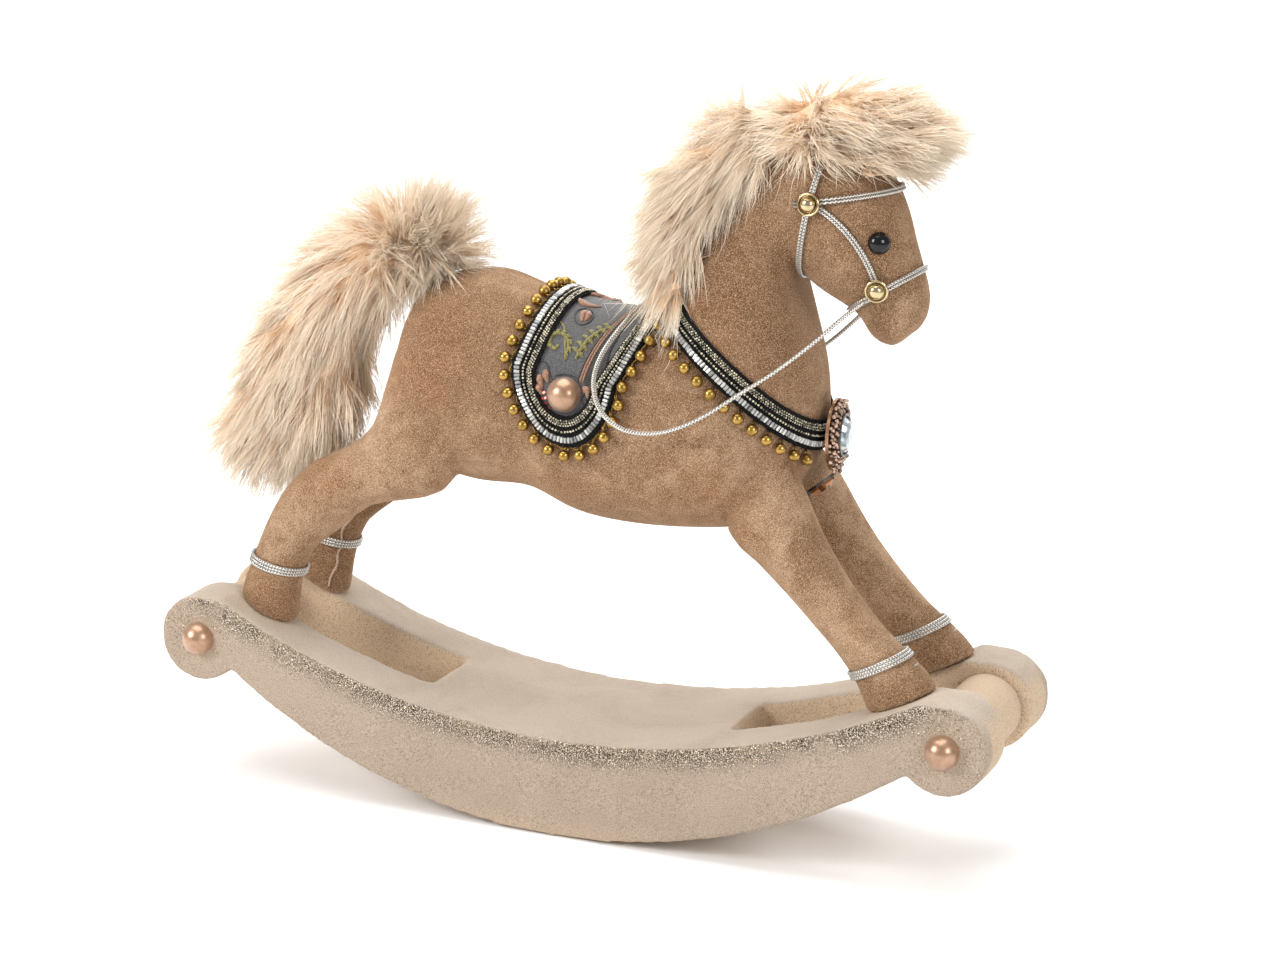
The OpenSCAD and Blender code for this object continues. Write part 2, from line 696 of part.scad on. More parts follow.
// Up over the saddle: x is measured from the saddle's front edge on top
rein_rest = [[-15, -43, 128], [-18, -43, 138], [-17, -39, 147], [-14, -31, 155], [-12, -18.5, 160.5],
    [-12, -6, 162.5]];
rein_d = 2.6;
function smooth(pts, k) = let (last = len(pts) - 1)
    [for (i = [0 : last * k]) let (j = min(last - 1, floor(i / k)))
        blend(pts[max(0, j - 1)], pts[j], pts[j + 1], pts[min(last, j + 2)], i / k - j)];
module reins() {
    xs = concat([for (p = rein_points) p[0] * sx], [for (p = rein_rest) saddle_front + p[0]]);
    rows = concat(rein_points, rein_rest);
    right = [for (i = [0 : len(rows) - 1]) [xs[i], rows[i][1] * horse_w, deck_top + rows[i][2] * horse_h]];
    left = [for (i = [len(right) - 1 : -1 : 0]) [right[i][0], -right[i][1], right[i][2]]];
    color("silver") tube(smooth(concat(right, left), 2), rein_d, 8, false, [1, 0.3, -1]);
}
// Two turns of cord round a fetlock
module fetlock_band(rows, u) {
    for (s = [-1, 1]) {
        r = row_at(rows, u + s * band_step);
        tube([for (j = [0 : leg_sides - 1]) on_row(r, 360 * j / leg_sides, band_cord_d / 2 + lift)],
            band_cord_d, 6, true, [r[1] - r[3], 0, r[2] - r[0]]);
    }
}
band_cord_d = 1.68;
band_step = 0.085;
hind_band_u = 6.85;
fore_band_u = 5.72;
module right_hind_band() {
    color("silver") fetlock_band(hind_rows, hind_band_u);
}
module left_hind_band() {
    color("silver") left_side() fetlock_band(hind_rows, hind_band_u);
}
module right_fore_band() {
    color("silver") fetlock_band(fore_rows, fore_band_u);
}
module left_fore_band() {
    color("silver") left_side() fetlock_band(fore_rows, fore_band_u);
}

rocker_rail_right();
rocker_rail_left();
rocker_deck();
front_crossbar();
rear_crossbar();
rocker_dowels();
rocker_pearls();
body();
head();
right_hind_leg();
left_hind_leg();
right_fore_leg();
left_fore_leg();
leg_dowels();
hoof_pins();
neck_dowel();
tail_core();
tail_fur();
mane();
forelock();
right_eye();
left_eye();
saddle_panel();
saddle_tape();
saddle_bugle_row();
saddle_ball_row();
saddle_seed_row();
saddle_fringe();
saddle_pearls();
collar_tape();
collar_bugle_row();
collar_ball_row();
collar_seed_row();
collar_fringe();
brooch_plate();
brooch_bezel();
brooch_crystal();
brooch_beads();
topaz_drop();
topaz_setting();
browband();
noseband();
cheek_straps();
throatlatch();
bridle_studs();
reins();
right_hind_band();
left_hind_band();
right_fore_band();
left_fore_band();
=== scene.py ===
import json
import math

import bmesh
import bpy
import numpy as np
from mathutils import Matrix, Vector
from mathutils.bvhtree import BVHTree
from mathutils.kdtree import KDTree

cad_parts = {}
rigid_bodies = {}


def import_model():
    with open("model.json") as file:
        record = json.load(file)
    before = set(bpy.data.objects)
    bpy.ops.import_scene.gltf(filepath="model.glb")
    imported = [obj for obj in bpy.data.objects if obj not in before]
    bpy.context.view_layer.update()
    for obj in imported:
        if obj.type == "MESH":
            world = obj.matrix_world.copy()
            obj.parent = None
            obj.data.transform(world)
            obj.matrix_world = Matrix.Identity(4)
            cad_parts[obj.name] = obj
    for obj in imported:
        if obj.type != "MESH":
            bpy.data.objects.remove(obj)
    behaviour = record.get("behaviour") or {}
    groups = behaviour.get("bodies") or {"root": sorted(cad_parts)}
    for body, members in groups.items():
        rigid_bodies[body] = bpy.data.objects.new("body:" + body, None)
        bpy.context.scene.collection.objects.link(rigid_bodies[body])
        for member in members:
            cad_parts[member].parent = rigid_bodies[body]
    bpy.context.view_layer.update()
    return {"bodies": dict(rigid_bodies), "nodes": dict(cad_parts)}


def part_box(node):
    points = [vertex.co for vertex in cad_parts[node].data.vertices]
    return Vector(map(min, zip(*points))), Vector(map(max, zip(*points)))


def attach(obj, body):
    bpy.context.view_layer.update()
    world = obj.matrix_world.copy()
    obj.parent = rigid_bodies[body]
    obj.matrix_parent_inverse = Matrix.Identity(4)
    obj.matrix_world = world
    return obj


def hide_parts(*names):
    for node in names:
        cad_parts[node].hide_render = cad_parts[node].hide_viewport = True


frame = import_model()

bl_info = {
    "name": "Rocking Horse Ornament",
    "version": (1, 0, 0),
    "blender": (4, 5, 0),
    "location": "View3D > Sidebar > Rocking Horse",
    "description": "Velvet rocking horse with a fur mane, a beaded saddle and a padded rocker",
    "category": "Object",
}

BODY = next(iter(frame["bodies"]))
MM = 0.001

# ---------------------------------------------------------------------------
# The horse's forms: rows of [top x, top z, bottom x, bottom z, middle y, half width] in millimetres,
# x from the rocker's middle and z from the top of the deck
# ---------------------------------------------------------------------------
SCROLL_X = 150.5
SCROLL_Z = 56.5
DECK_TOP = 38.5
TOP_R = 305.0
RAIL_OUT = 40.0
# The forms below are drawn for a rocker whose scrolls stand 150 from its middle
SX = SCROLL_X / 150
# Points closer together than this are one point
SAME = 1e-6

BODY_ROWS = [
    [-75, 142, -79, 123, 0, 9],
    [-71, 157, -79, 106, 0, 22],
    [-58, 165, -72, 92, 0, 30],
    [-42, 167, -48, 86, 0, 33],
    [-24, 162, -24, 86, 0, 33],
    [-4, 158, -4, 79, 0, 34],
    [16, 157, 16, 77, 0, 35],
    [33, 163, 40, 78, 0, 35],
    [37, 174, 62, 82, 0, 34],
    [40, 185, 78, 95, 0, 31],
    [43, 195, 87, 113, 0, 27],
    [48, 204, 88, 134, 0, 22.5],
    [54, 212, 83, 153, 0, 19],
    [62, 219, 77, 168, 0, 17],
    [71, 224, 76, 179, 0, 16],
]
HEAD_ROWS = [
    [71.5, 224.6, 76.6, 179.4, 0, 16],
    [82, 228.5, 82.5, 174, 0, 16.8],
    [96, 226.5, 88, 170.5, 0, 17.6],
    [108, 217.5, 94, 167.5, 0, 17],
    [115, 205, 100, 164, 0, 15.5],
    [119, 193, 103, 160, 0, 13.5],
    [122.5, 183, 105, 157, 0, 12],
    [125, 174, 109, 154.5, 0, 11.2],
    [124.5, 166, 114, 154, 0, 9],
    [121.5, 160, 118.5, 158, 0, 4],
]
HIND_ROWS = [
    [-77, 136, -50, 118, -16, 8],
    [-80, 121, -46, 100, -19, 12],
    [-84, 107, -55, 84, -20.5, 13],
    [-95, 97, -70, 79, -21, 12.5],
    [-109, 90, -85, 75, -21.5, 11.3],
    [-121, 78, -98, 64, -22, 10],
    [-129.5, 62, -109, 55, -22.5, 9.2],
    [-135, 48, -114, 44, -22.5, 8.8],
    [-139.5, 36, -116, 34, -22, 10],
    [-140, 20, -118, 18, -21.5, 9.5],
]
FORE_ROWS = [
    [80, 112, 62, 102, -14, 7],
    [88, 100, 59, 83, -18, 11.5],
    [95, 87, 72, 73, -20, 11.8],
    [103, 75, 84, 63, -21, 10.8],
    [113, 63, 96, 52, -22, 9.8],
    [123, 53, 105, 43, -22.5, 9.2],
    [133, 45, 112, 34, -23, 9.6],
    [142, 36, 117, 24, -23.5, 10.8],
    [146, 24, 121, 12, -23.5, 10.8],
]


def unit(v):
    """Vectors of length 1 along v."""
    return v / np.maximum(np.linalg.norm(v, axis=-1, keepdims=True), 1e-9)


def blended(a, b, c, d, t):
    """Points between b and c on a smooth line through a, b, c and d."""
    return 0.5 * (2 * b + (c - a) * t + (2 * a - 5 * b + 4 * c - d) * t**2 + (3 * b - a - 3 * c + d) * t**3)


class Form:
    """A rounded form through section rows. Angle 0 is its top, 90 its right side and 180 its bottom."""

    def __init__(self, rows, fullness=1.0):
        scale = [SX, 1, SX, 1, 1, 1]
        lift = [0, DECK_TOP, 0, DECK_TOP, 0, 0]
        self.rows = (np.array(rows, float) * scale + lift) * MM
        self.fullness = fullness

    def row(self, u):
        """Section rows blended at positions u, counted in rows."""
        last = len(self.rows) - 1
        i = np.clip(np.floor(u).astype(int), 0, last - 1)
        t = (u - i)[:, None]
        return blended(*(self.rows[np.clip(i + k, 0, last)] for k in (-1, 0, 1, 2)), t)

    def at(self, u, phi, grow=0.0):
        """Points on the form, or on one grown by some metres all round."""
        u, phi = np.broadcast_arrays(np.asarray(u, float), np.radians(np.asarray(phi, float)))
        shape, u, phi = u.shape, u.ravel(), phi.ravel()
        r = self.row(u)
        none = np.zeros(len(u))
        mid = np.stack([(r[:, 0] + r[:, 2]) / 2, r[:, 4], (r[:, 1] + r[:, 3]) / 2], 1)
        arm = np.stack([(r[:, 0] - r[:, 2]) / 2, none, (r[:, 1] - r[:, 3]) / 2], 1)
        reach = np.linalg.norm(arm, axis=1) + grow
        across, over = (np.sign(w) * np.abs(w) ** self.fullness for w in (np.sin(phi), np.cos(phi)))
        side = np.stack([none, -(r[:, 5] + grow) * across, none], 1)
        return (mid + unit(arm) * (reach * over)[:, None] + side).reshape(*shape, 3)

    def out(self, u, phi):
        """Outward directions."""
        u, phi = np.asarray(u, float), np.asarray(phi, float)
        round_it = self.at(u, phi + 2) - self.at(u, phi - 2)
        return unit(np.cross(round_it, self.at(u + 0.05, phi) - self.at(u - 0.05, phi)))

    def above(self, u, phi, height):
        """Points some metres off the surface."""
        return self.at(u, phi) + height * self.out(u, phi)

    def crossing(self, phi, normal, distance, low, high):
        """The position at which the surface, at each angle, meets a plane."""
        phi, distance = np.broadcast_arrays(np.asarray(phi, float), np.asarray(distance, float))
        low, high = np.full(phi.shape, float(low)), np.full(phi.shape, float(high))
        for _ in range(16):
            middle = (low + high) / 2
            short = self.at(middle, phi) @ np.array(normal) < distance
            low, high = np.where(short, middle, low), np.where(short, high, middle)
        return (low + high) / 2


BARREL = Form(BODY_ROWS, 0.94)
HEAD = Form(HEAD_ROWS)
POLL = Form(BODY_ROWS[-4:] + HEAD_ROWS[:3])
HIND = Form(HIND_ROWS)
FORE = Form(FORE_ROWS)
NECK_END = len(BODY_ROWS) - 1


def spot(x, z):
    """A point on the middle plane, from its x and its height above the deck."""
    return np.array([x * SX, 0, DECK_TOP + z]) * MM


def mirrored(points):
    """The same points on the horse's other side."""
    return np.asarray(points) * [1, -1, 1]


def evenly(points, step=None, count=None, closed=False):
    """Points a step apart along a line, and the directions of the line there."""
    points = np.asarray(points, float)
    if closed:
        points = np.vstack([points, points[:1]])
    run = np.concatenate([[0], np.cumsum(np.linalg.norm(np.diff(points, axis=0), axis=1))])
    count = count or max(2, int(round(run[-1] / step)))
    marks = np.linspace(0, run[-1], count + 1)[:-1] if closed else np.linspace(0, run[-1], count)
    placed = np.stack([np.interp(marks, run, points[:, k]) for k in range(3)], 1)
    small = run[-1] / count / 2
    ahead, behind = (np.stack([np.interp(m, run, points[:, k]) for k in range(3)], 1)
                     for m in (np.minimum(marks + small, run[-1]), np.maximum(marks - small, 0)))
    return placed, unit(ahead - behind)


def flowing(points, parts):
    """A smooth line through points, as a blend of four neighbours at a time."""
    points = np.asarray(points, float)
    last = len(points) - 1
    u = np.linspace(0, last, last * parts + 1)
    i = np.minimum(np.floor(u).astype(int), last - 1)
    t = (u - i)[:, None]
    return blended(*(points[np.clip(i + k, 0, last)] for k in (-1, 0, 1, 2)), t)


# ---------------------------------------------------------------------------
# The saddle's and the collar's own coordinates
# ---------------------------------------------------------------------------
BARREL_R = 38.5
SADDLE_LEN = 132.0
FLAP_R = 21.0
# Towards the top of the back the saddle is shifted forward and widened, to end behind the withers
SADDLE_SHIFT = 9
SADDLE_WIDEN = 4
SADDLE_BEHIND = 7
SADDLE_X = 40 * SX - SADDLE_BEHIND - FLAP_R - SADDLE_WIDEN - SADDLE_SHIFT
# Section rows between which the saddle and the collar are looked for
SADDLE_ROWS = (2.2, 8.5)
COLLAR_ROWS = (5, 13)
TAPE_W = 9.4
TAPE_T = 0.8
PANEL_T = 0.8
LIFT = 0.35
SADDLE_TAPE_H = LIFT + PANEL_T + 0.4
FLAP_Q = SADDLE_LEN / 2 - FLAP_R
# Share of the tape's width at which each row of beads runs
BUGLE_AT, BALL_AT, SEED_AT = 0.25, 0.51, 0.77
PEARL_GAP = 0.6
PEARL_D = 13.0
PEARL_Q = FLAP_Q + FLAP_R - TAPE_W - PEARL_GAP - PEARL_D / 2
# Cloth is modelled a little thinner than it is, so that it stays inside its solid
CLOTH_SHARE = 0.9


def top_share(q):
    """1 on the middle of the back and 0 from the flaps' ends on."""
    return np.maximum(0, 1 - (q / FLAP_Q) ** 2)


def on_barrel(x, q, height):
    """Points on the back, x along it and q millimetres down its right side."""
    x, q = np.broadcast_arrays(np.asarray(x, float), np.asarray(q, float))
    phi = np.degrees(q / BARREL_R)
    u = BARREL.crossing(phi, [1, 0, 0], x * MM, *SADDLE_ROWS)
    return BARREL.above(u, phi, height * MM)


def saddle_outline(inset, side=40, arc=30):
    """The saddle's outline as (x, q), moved in by some millimetres."""
    q = FLAP_Q * (2 * np.arange(side) / side - 1)
    a = np.pi * np.arange(arc) / arc
    r = FLAP_R - inset
    middle, half = SADDLE_X + SADDLE_SHIFT * top_share(q), FLAP_R + SADDLE_WIDEN * top_share(q)
    return np.vstack([
        np.stack([middle + half - inset, q], 1),
        np.stack([SADDLE_X + r * np.cos(a), FLAP_Q + r * np.sin(a)], 1),
        np.stack([middle - half + inset, -q], 1),
        np.stack([SADDLE_X - r * np.cos(a), -FLAP_Q - r * np.sin(a)], 1),
    ])


def saddle_loop(inset, height):
    """The outline's points on the back."""
    flat = saddle_outline(inset)
    return on_barrel(flat[:, 0], flat[:, 1], height)


# The collar lies in a plane with this normal and distance, from this angle down each side
COLLAR_N = unit(np.array([41, 0, 47 * SX]))
COLLAR_D = COLLAR_N @ (np.array([87.5 * SX, 0, DECK_TOP + 119]) * MM)
COLLAR_START = 42.0


def on_chest(phi, along, height):
    """Points on the collar's sloping plane round the chest, along millimetres above that plane."""
    phi = np.asarray(phi, float)
    u = BARREL.crossing(phi, COLLAR_N, COLLAR_D + np.asarray(along) * MM, *COLLAR_ROWS)
    return BARREL.above(u, phi, np.asarray(height) * MM)


def collar_line(along, height, steps=90):
    """A line along the whole collar."""
    return on_chest(np.linspace(COLLAR_START, 360 - COLLAR_START, steps + 1), along, height)


# ---------------------------------------------------------------------------
# Making pieces
# ---------------------------------------------------------------------------
def shown(name, data, finish, replaces=(), smooth=True):
    """Puts a finished mesh or curve in the scene, with its finish, and lets it ride."""
    piece = bpy.data.objects.new(name, data)
    bpy.context.scene.collection.objects.link(piece)
    data.materials.clear()
    data.materials.append(finish)
    if smooth and isinstance(data, bpy.types.Mesh):
        data.shade_smooth()
    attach(piece, BODY)
    if replaces:
        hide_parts(*replaces)
    return piece


def mesh_of(bm, name):
    """A mesh with its points joined and its faces outward."""
    bmesh.ops.remove_doubles(bm, verts=bm.verts, dist=SAME)
    bmesh.ops.recalc_face_normals(bm, faces=bm.faces)
    data = bpy.data.meshes.new(name)
    bm.to_mesh(data)
    bm.free()
    return data


def capped(bm):
    """Closes every open rim."""
    bmesh.ops.holes_fill(bm, edges=[e for e in bm.edges if e.is_boundary], sides=0)


def shape_of(*nodes):
    """One bmesh of the shapes of CAD nodes."""
    bm = bmesh.new()
    for node in nodes:
        bm.from_mesh(frame["nodes"][node].data)
    bmesh.ops.remove_doubles(bm, verts=bm.verts, dist=SAME)
    return bm


def dressed(*pairs):
    """Gives CAD nodes that stay in view their finishes."""
    for node, look in pairs:
        frame["nodes"][node].data.materials.clear()
        frame["nodes"][node].data.materials.append(look)


def modified(data, name, *modifiers):
    """A mesh with modifiers applied, each given as (type, settings)."""
    carrier = bpy.data.objects.new(name, data)
    bpy.context.scene.collection.objects.link(carrier)
    for kind, settings in modifiers:
        step = carrier.modifiers.new(kind.title(), kind)
        for key, value in settings.items():
            setattr(step, key, value)
    graph = bpy.context.evaluated_depsgraph_get()
    result = bpy.data.meshes.new_from_object(carrier.evaluated_get(graph))
    bpy.data.objects.remove(carrier)
    result.name = name
    return result


def wrapped(bm, place, along, across, closed=False):
    """A grid laid over a surface: place(s, t) gives points for s and t from 0 to 1."""
    made = bmesh.ops.create_grid(bm, x_segments=along, y_segments=across, size=0.5, calc_uvs=True)["verts"]
    flat = np.array([v.co[:2] for v in made]) + 0.5
    for vert, point in zip(made, place(flat[:, 0], flat[:, 1])):
        vert.co = point
    if closed:
        bmesh.ops.remove_doubles(bm, verts=made, dist=SAME)
    return made


def lofted(bm, form, along, across, first=0.0, last=None, grow=0.0):
    """A closed skin round a form, from one of its rows to another."""
    last = len(form.rows) - 1 if last is None else last
    wrapped(bm, lambda s, t: form.at(first + (last - first) * s, 360 * t, grow), along, across, closed=True)
    capped(bm)


def copies(template, places, name, tint=None):
    """One mesh with the template bmesh repeated at each place, a 4 by 4 matrix, and one tint a copy."""
    source = bpy.data.meshes.new(name + "_one")
    template.to_mesh(source)
    template.free()
    one = np.empty(len(source.vertices) * 3)
    source.vertices.foreach_get("co", one)
    one = np.c_[one.reshape(-1, 3), np.ones(len(source.vertices))]
    faces = [tuple(p.vertices) for p in source.polygons]
    places = np.asarray(places)
    verts = np.einsum("nij,vj->nvi", places, one)[:, :, :3].reshape(-1, 3)
    count = len(one)
    data = bpy.data.meshes.new(name)
    turned = [tuple(v + k * count for v in face) for k in range(len(places)) for face in faces]
    data.from_pydata(verts.tolist(), [], turned)
    bpy.data.meshes.remove(source)
    if tint is not None:
        layer = data.attributes.new("tint", "FLOAT", "POINT")
        layer.data.foreach_set("value", np.repeat(np.asarray(tint, float), count))
    return data


def stood(points, z, x=None, size=1.0):
    """Matrices that stand a template at points, its Z axis along z and its X axis near x."""
    points, z = np.asarray(points, float), unit(np.asarray(z, float))
    x = np.broadcast_to([0.9, 0.1, 0.4] if x is None else x, z.shape)
    y = unit(np.cross(z, x))
    x = np.cross(y, z)
    size = np.broadcast_to(np.asarray(size, float), (len(points),))[:, None]
    places = np.zeros((len(points), 4, 4))
    places[:, :3, 0], places[:, :3, 1], places[:, :3, 2] = x * size, y * size, z * size
    places[:, :3, 3] = points
    places[:, 3, 3] = 1
    return places


def cord_curve(name, lines, width, closed=False, sides=3, radii=None):
    """A curve object data with one spline for each line, round, width metres across."""
    data = bpy.data.curves.new(name, "CURVE")
    data.dimensions = "3D"
    data.bevel_depth = width / 2
    data.bevel_resolution = sides
    data.use_fill_caps = not closed
    for k, line in enumerate(lines):
        spline = data.splines.new("POLY")
        spline.points.add(len(line) - 1)
        spline.points.foreach_set("co", np.c_[line, np.ones(len(line))].ravel())
        if radii is not None:
            spline.points.foreach_set("radius", np.asarray(radii[k], float))
        spline.use_cyclic_u = closed
        spline.use_smooth = True
    return data


def as_mesh(curve, name, pitches=1.0):
    """The mesh of a curve's data, with its UV map's X along the cord, in turns of its lay, and Y round it."""
    carrier = bpy.data.objects.new(name, curve)
    bpy.context.scene.collection.objects.link(carrier)
    graph = bpy.context.evaluated_depsgraph_get()
    data = bpy.data.meshes.new_from_object(carrier.evaluated_get(graph))
    bpy.data.objects.remove(carrier)
    bpy.data.curves.remove(curve)
    if pitches != 1.0:
        uv = np.empty(len(data.loops) * 2)
        data.uv_layers[0].data.foreach_get("uv", uv)
        uv[::2] *= pitches
        data.uv_layers[0].data.foreach_set("uv", uv)
    bm = bmesh.new()
    bm.from_mesh(data)
    bmesh.ops.remove_doubles(bm, verts=bm.verts, dist=1e-8)
    bm.to_mesh(data)
    bm.free()
    data.name = name
    return data


# ---------------------------------------------------------------------------
# Finishes
# ---------------------------------------------------------------------------
class Finish:
    """Short names for the nodes of one material."""

    def __init__(self, name, **sockets):
        self.material = bpy.data.materials.new(name)
        self.material.use_nodes = True
        self.tree = self.material.node_tree
        self.shader = self.tree.nodes["Principled BSDF"]
        self.where = self.tree.nodes.new("ShaderNodeTexCoord").outputs["Object"]
        for socket, value in sockets.items():
            self.shader.inputs[socket.replace("_", " ")].default_value = value

    def node(self, kind, inputs=None, **settings):
        """A node of that kind, with its inputs linked or set."""
        made = self.tree.nodes.new("ShaderNode" + kind)
        for key, value in settings.items():
            setattr(made, key, value)
        for key, value in (inputs or {}).items():
            if isinstance(value, bpy.types.NodeSocket):
                self.tree.links.new(value, made.inputs[key])
            else:
                made.inputs[key].default_value = value
        return made

    def noise(self, scale, detail=2.0, rough=0.5, vector=None, twist=0.0):
        """Soft noise from 0 to 1."""
        inputs = {"Vector": vector or self.where, "Scale": scale, "Detail": detail, "Roughness": rough,
                  "Distortion": twist}
        return self.node("TexNoise", inputs).outputs["Fac"]

    def cells(self, scale):
        """Cells, each of its own colour."""
        return self.node("TexVoronoi", {"Vector": self.where, "Scale": scale}).outputs["Color"]

    def math(self, operation, a, b=0.0, c=0.0):
        """One sum on two or three values."""
        return self.node("Math", {0: a, 1: b, 2: c}, operation=operation).outputs[0]

    def span(self, value, low, high, to_low=0.0, to_high=1.0):
        """A value carried from one range to another, and kept inside it."""
        inputs = {"Value": value, "From Min": low, "From Max": high, "To Min": to_low, "To Max": to_high}
        return self.node("MapRange", inputs, clamp=True).outputs["Result"]

    def mix(self, factor, a, b):
        """A colour between a and b."""
        made = self.node("Mix", data_type="RGBA")
        for socket, value in ((made.inputs[0], factor), (made.inputs[6], a), (made.inputs[7], b)):
            if isinstance(value, bpy.types.NodeSocket):
                self.tree.links.new(value, socket)
            else:
                socket.default_value = value if socket is made.inputs[0] else (*value, 1.0)
        return made.outputs[2]

    def split(self, vector=None):
        """The X, Y and Z of a vector, or of the place on the piece."""
        return self.node("SeparateXYZ", {0: vector or self.where}).outputs

    def uv(self):
        """The piece's own UV map."""
        return self.node("UVMap").outputs["UV"]

    def attribute(self, name):
        """A value that each point of the piece carries."""
        return self.node("Attribute", attribute_name=name).outputs["Fac"]

    def feed(self, socket, value):
        """Links a value to the shader."""
        self.tree.links.new(value, self.shader.inputs[socket])

    def bump(self, height, strength, distance, under=None):
        """Relief from a height, over another relief where one is given."""
        inputs = {"Height": height, "Strength": strength, "Distance": distance}
        if under is not None:
            inputs["Normal"] = under
        return self.node("Bump", inputs).outputs["Normal"]


def srgb(*levels):
    """Linear colour from 0 to 255 levels."""
    return tuple(((v / 255 + 0.055) / 1.055) ** 2.4 if v > 10 else v / 255 / 12.92 for v in levels)


RUST = srgb(146, 92, 52)
# Patches of painted shade and painted light, by place: darker on the upper flank behind the saddle, on the
# neck under the mane and on a small spot of the head, lighter on the chest, the forelegs and the rump.
# Centre, radius, weight
SHADE_AND_LIGHT_PATCHES = (
    ((-0.048, 0, 0.182), 0.034, -0.17),
    ((0.066, 0, 0.215), 0.032, -0.14),
    ((0.078, 0, 0.152), 0.03, 0.12),
    ((0.112, 0, 0.1), 0.034, 0.12),
    ((-0.084, 0, 0.15), 0.028, 0.06),
    ((0.108, 0, 0.236), 0.016, -0.1),
)


def velvet(name, ground, nap, shade, grain, crease=0.75):
    """Flocked velvet: a speckle of fibre tips, brushed patches, patches of painted shade and painted light by
    place, painted shade in the creases and a painted highlight on sharp edges.
    """
    f = Finish(name, Roughness=0.95, Sheen_Weight=0.7, Sheen_Roughness=0.35, Sheen_Tint=(*nap, 1.0),
               Specular_IOR_Level=0.12)
    tips = f.noise(3300 * grain, 1.0, 0.5)
    flecks = f.noise(1500 * grain, 2.0, 0.6)
    brushed = f.noise(22, 4.0, 0.55, twist=1.2)
    streaks = f.noise(150, 3.0, 0.6, twist=0.6)
    patches = f.math("MULTIPLY_ADD", streaks, 0.4, f.math("MULTIPLY", brushed, 0.6))
    flat = f.node("VectorMath", {0: f.where, 1: (1.0, 0.0, 1.0)}, operation="MULTIPLY").outputs["Vector"]
    # Painted shade and painted light: the patches by place are added to the brushed noise before it picks the
    # colour
    for centre, radius, weight in SHADE_AND_LIGHT_PATCHES:
        reach = f.node("VectorMath", {0: flat, 1: centre}, operation="DISTANCE").outputs["Value"]
        patches = f.math("ADD", patches, f.span(reach, radius, 0.25 * radius, 0.0, weight))
    colour = f.mix(f.span(patches, 0.3, 0.62, 0.0, 1.0), shade, ground)
    colour = f.mix(f.span(patches, 0.5, 0.74, 0.0, 0.65), colour, nap)
    rust = f.noise(17, 3.0, 0.5, twist=0.4)
    colour = f.mix(f.span(rust, 0.53, 0.66, 0.0, 0.4), colour, RUST)
    # Painted shade in the creases, found by ambient occlusion, and a painted highlight of nap colour on sharp
    # edges, found by pointiness
    sharp = f.node("NewGeometry").outputs["Pointiness"]
    hollow = f.node("AmbientOcclusion", {"Distance": 0.016}, samples=6).outputs["AO"]
    colour = f.mix(f.span(hollow, 0.92, 0.35, 0.0, crease), colour, shade)
    colour = f.mix(f.span(sharp, 0.515, 0.58, 0.0, 0.6), colour, nap)
    dark = tuple(0.34 * v for v in ground)
    colour = f.mix(f.span(tips, 0.52, 0.36, 0.0, 0.55), colour, dark)
    colour = f.mix(f.span(flecks, 0.5, 0.34, 0.0, 0.3), colour, dark)
    colour = f.mix(f.span(tips, 0.5, 0.64, 0.0, 0.55), colour, tuple(min(1.0, 1.2 * v) for v in nap))
    f.feed("Base Color", colour)
    relief = f.bump(f.noise(700 * grain, 3.0, 0.6), 0.3, 0.0006)
    f.feed("Normal", f.bump(tips, 0.9, 0.0004, relief))
    return f.material


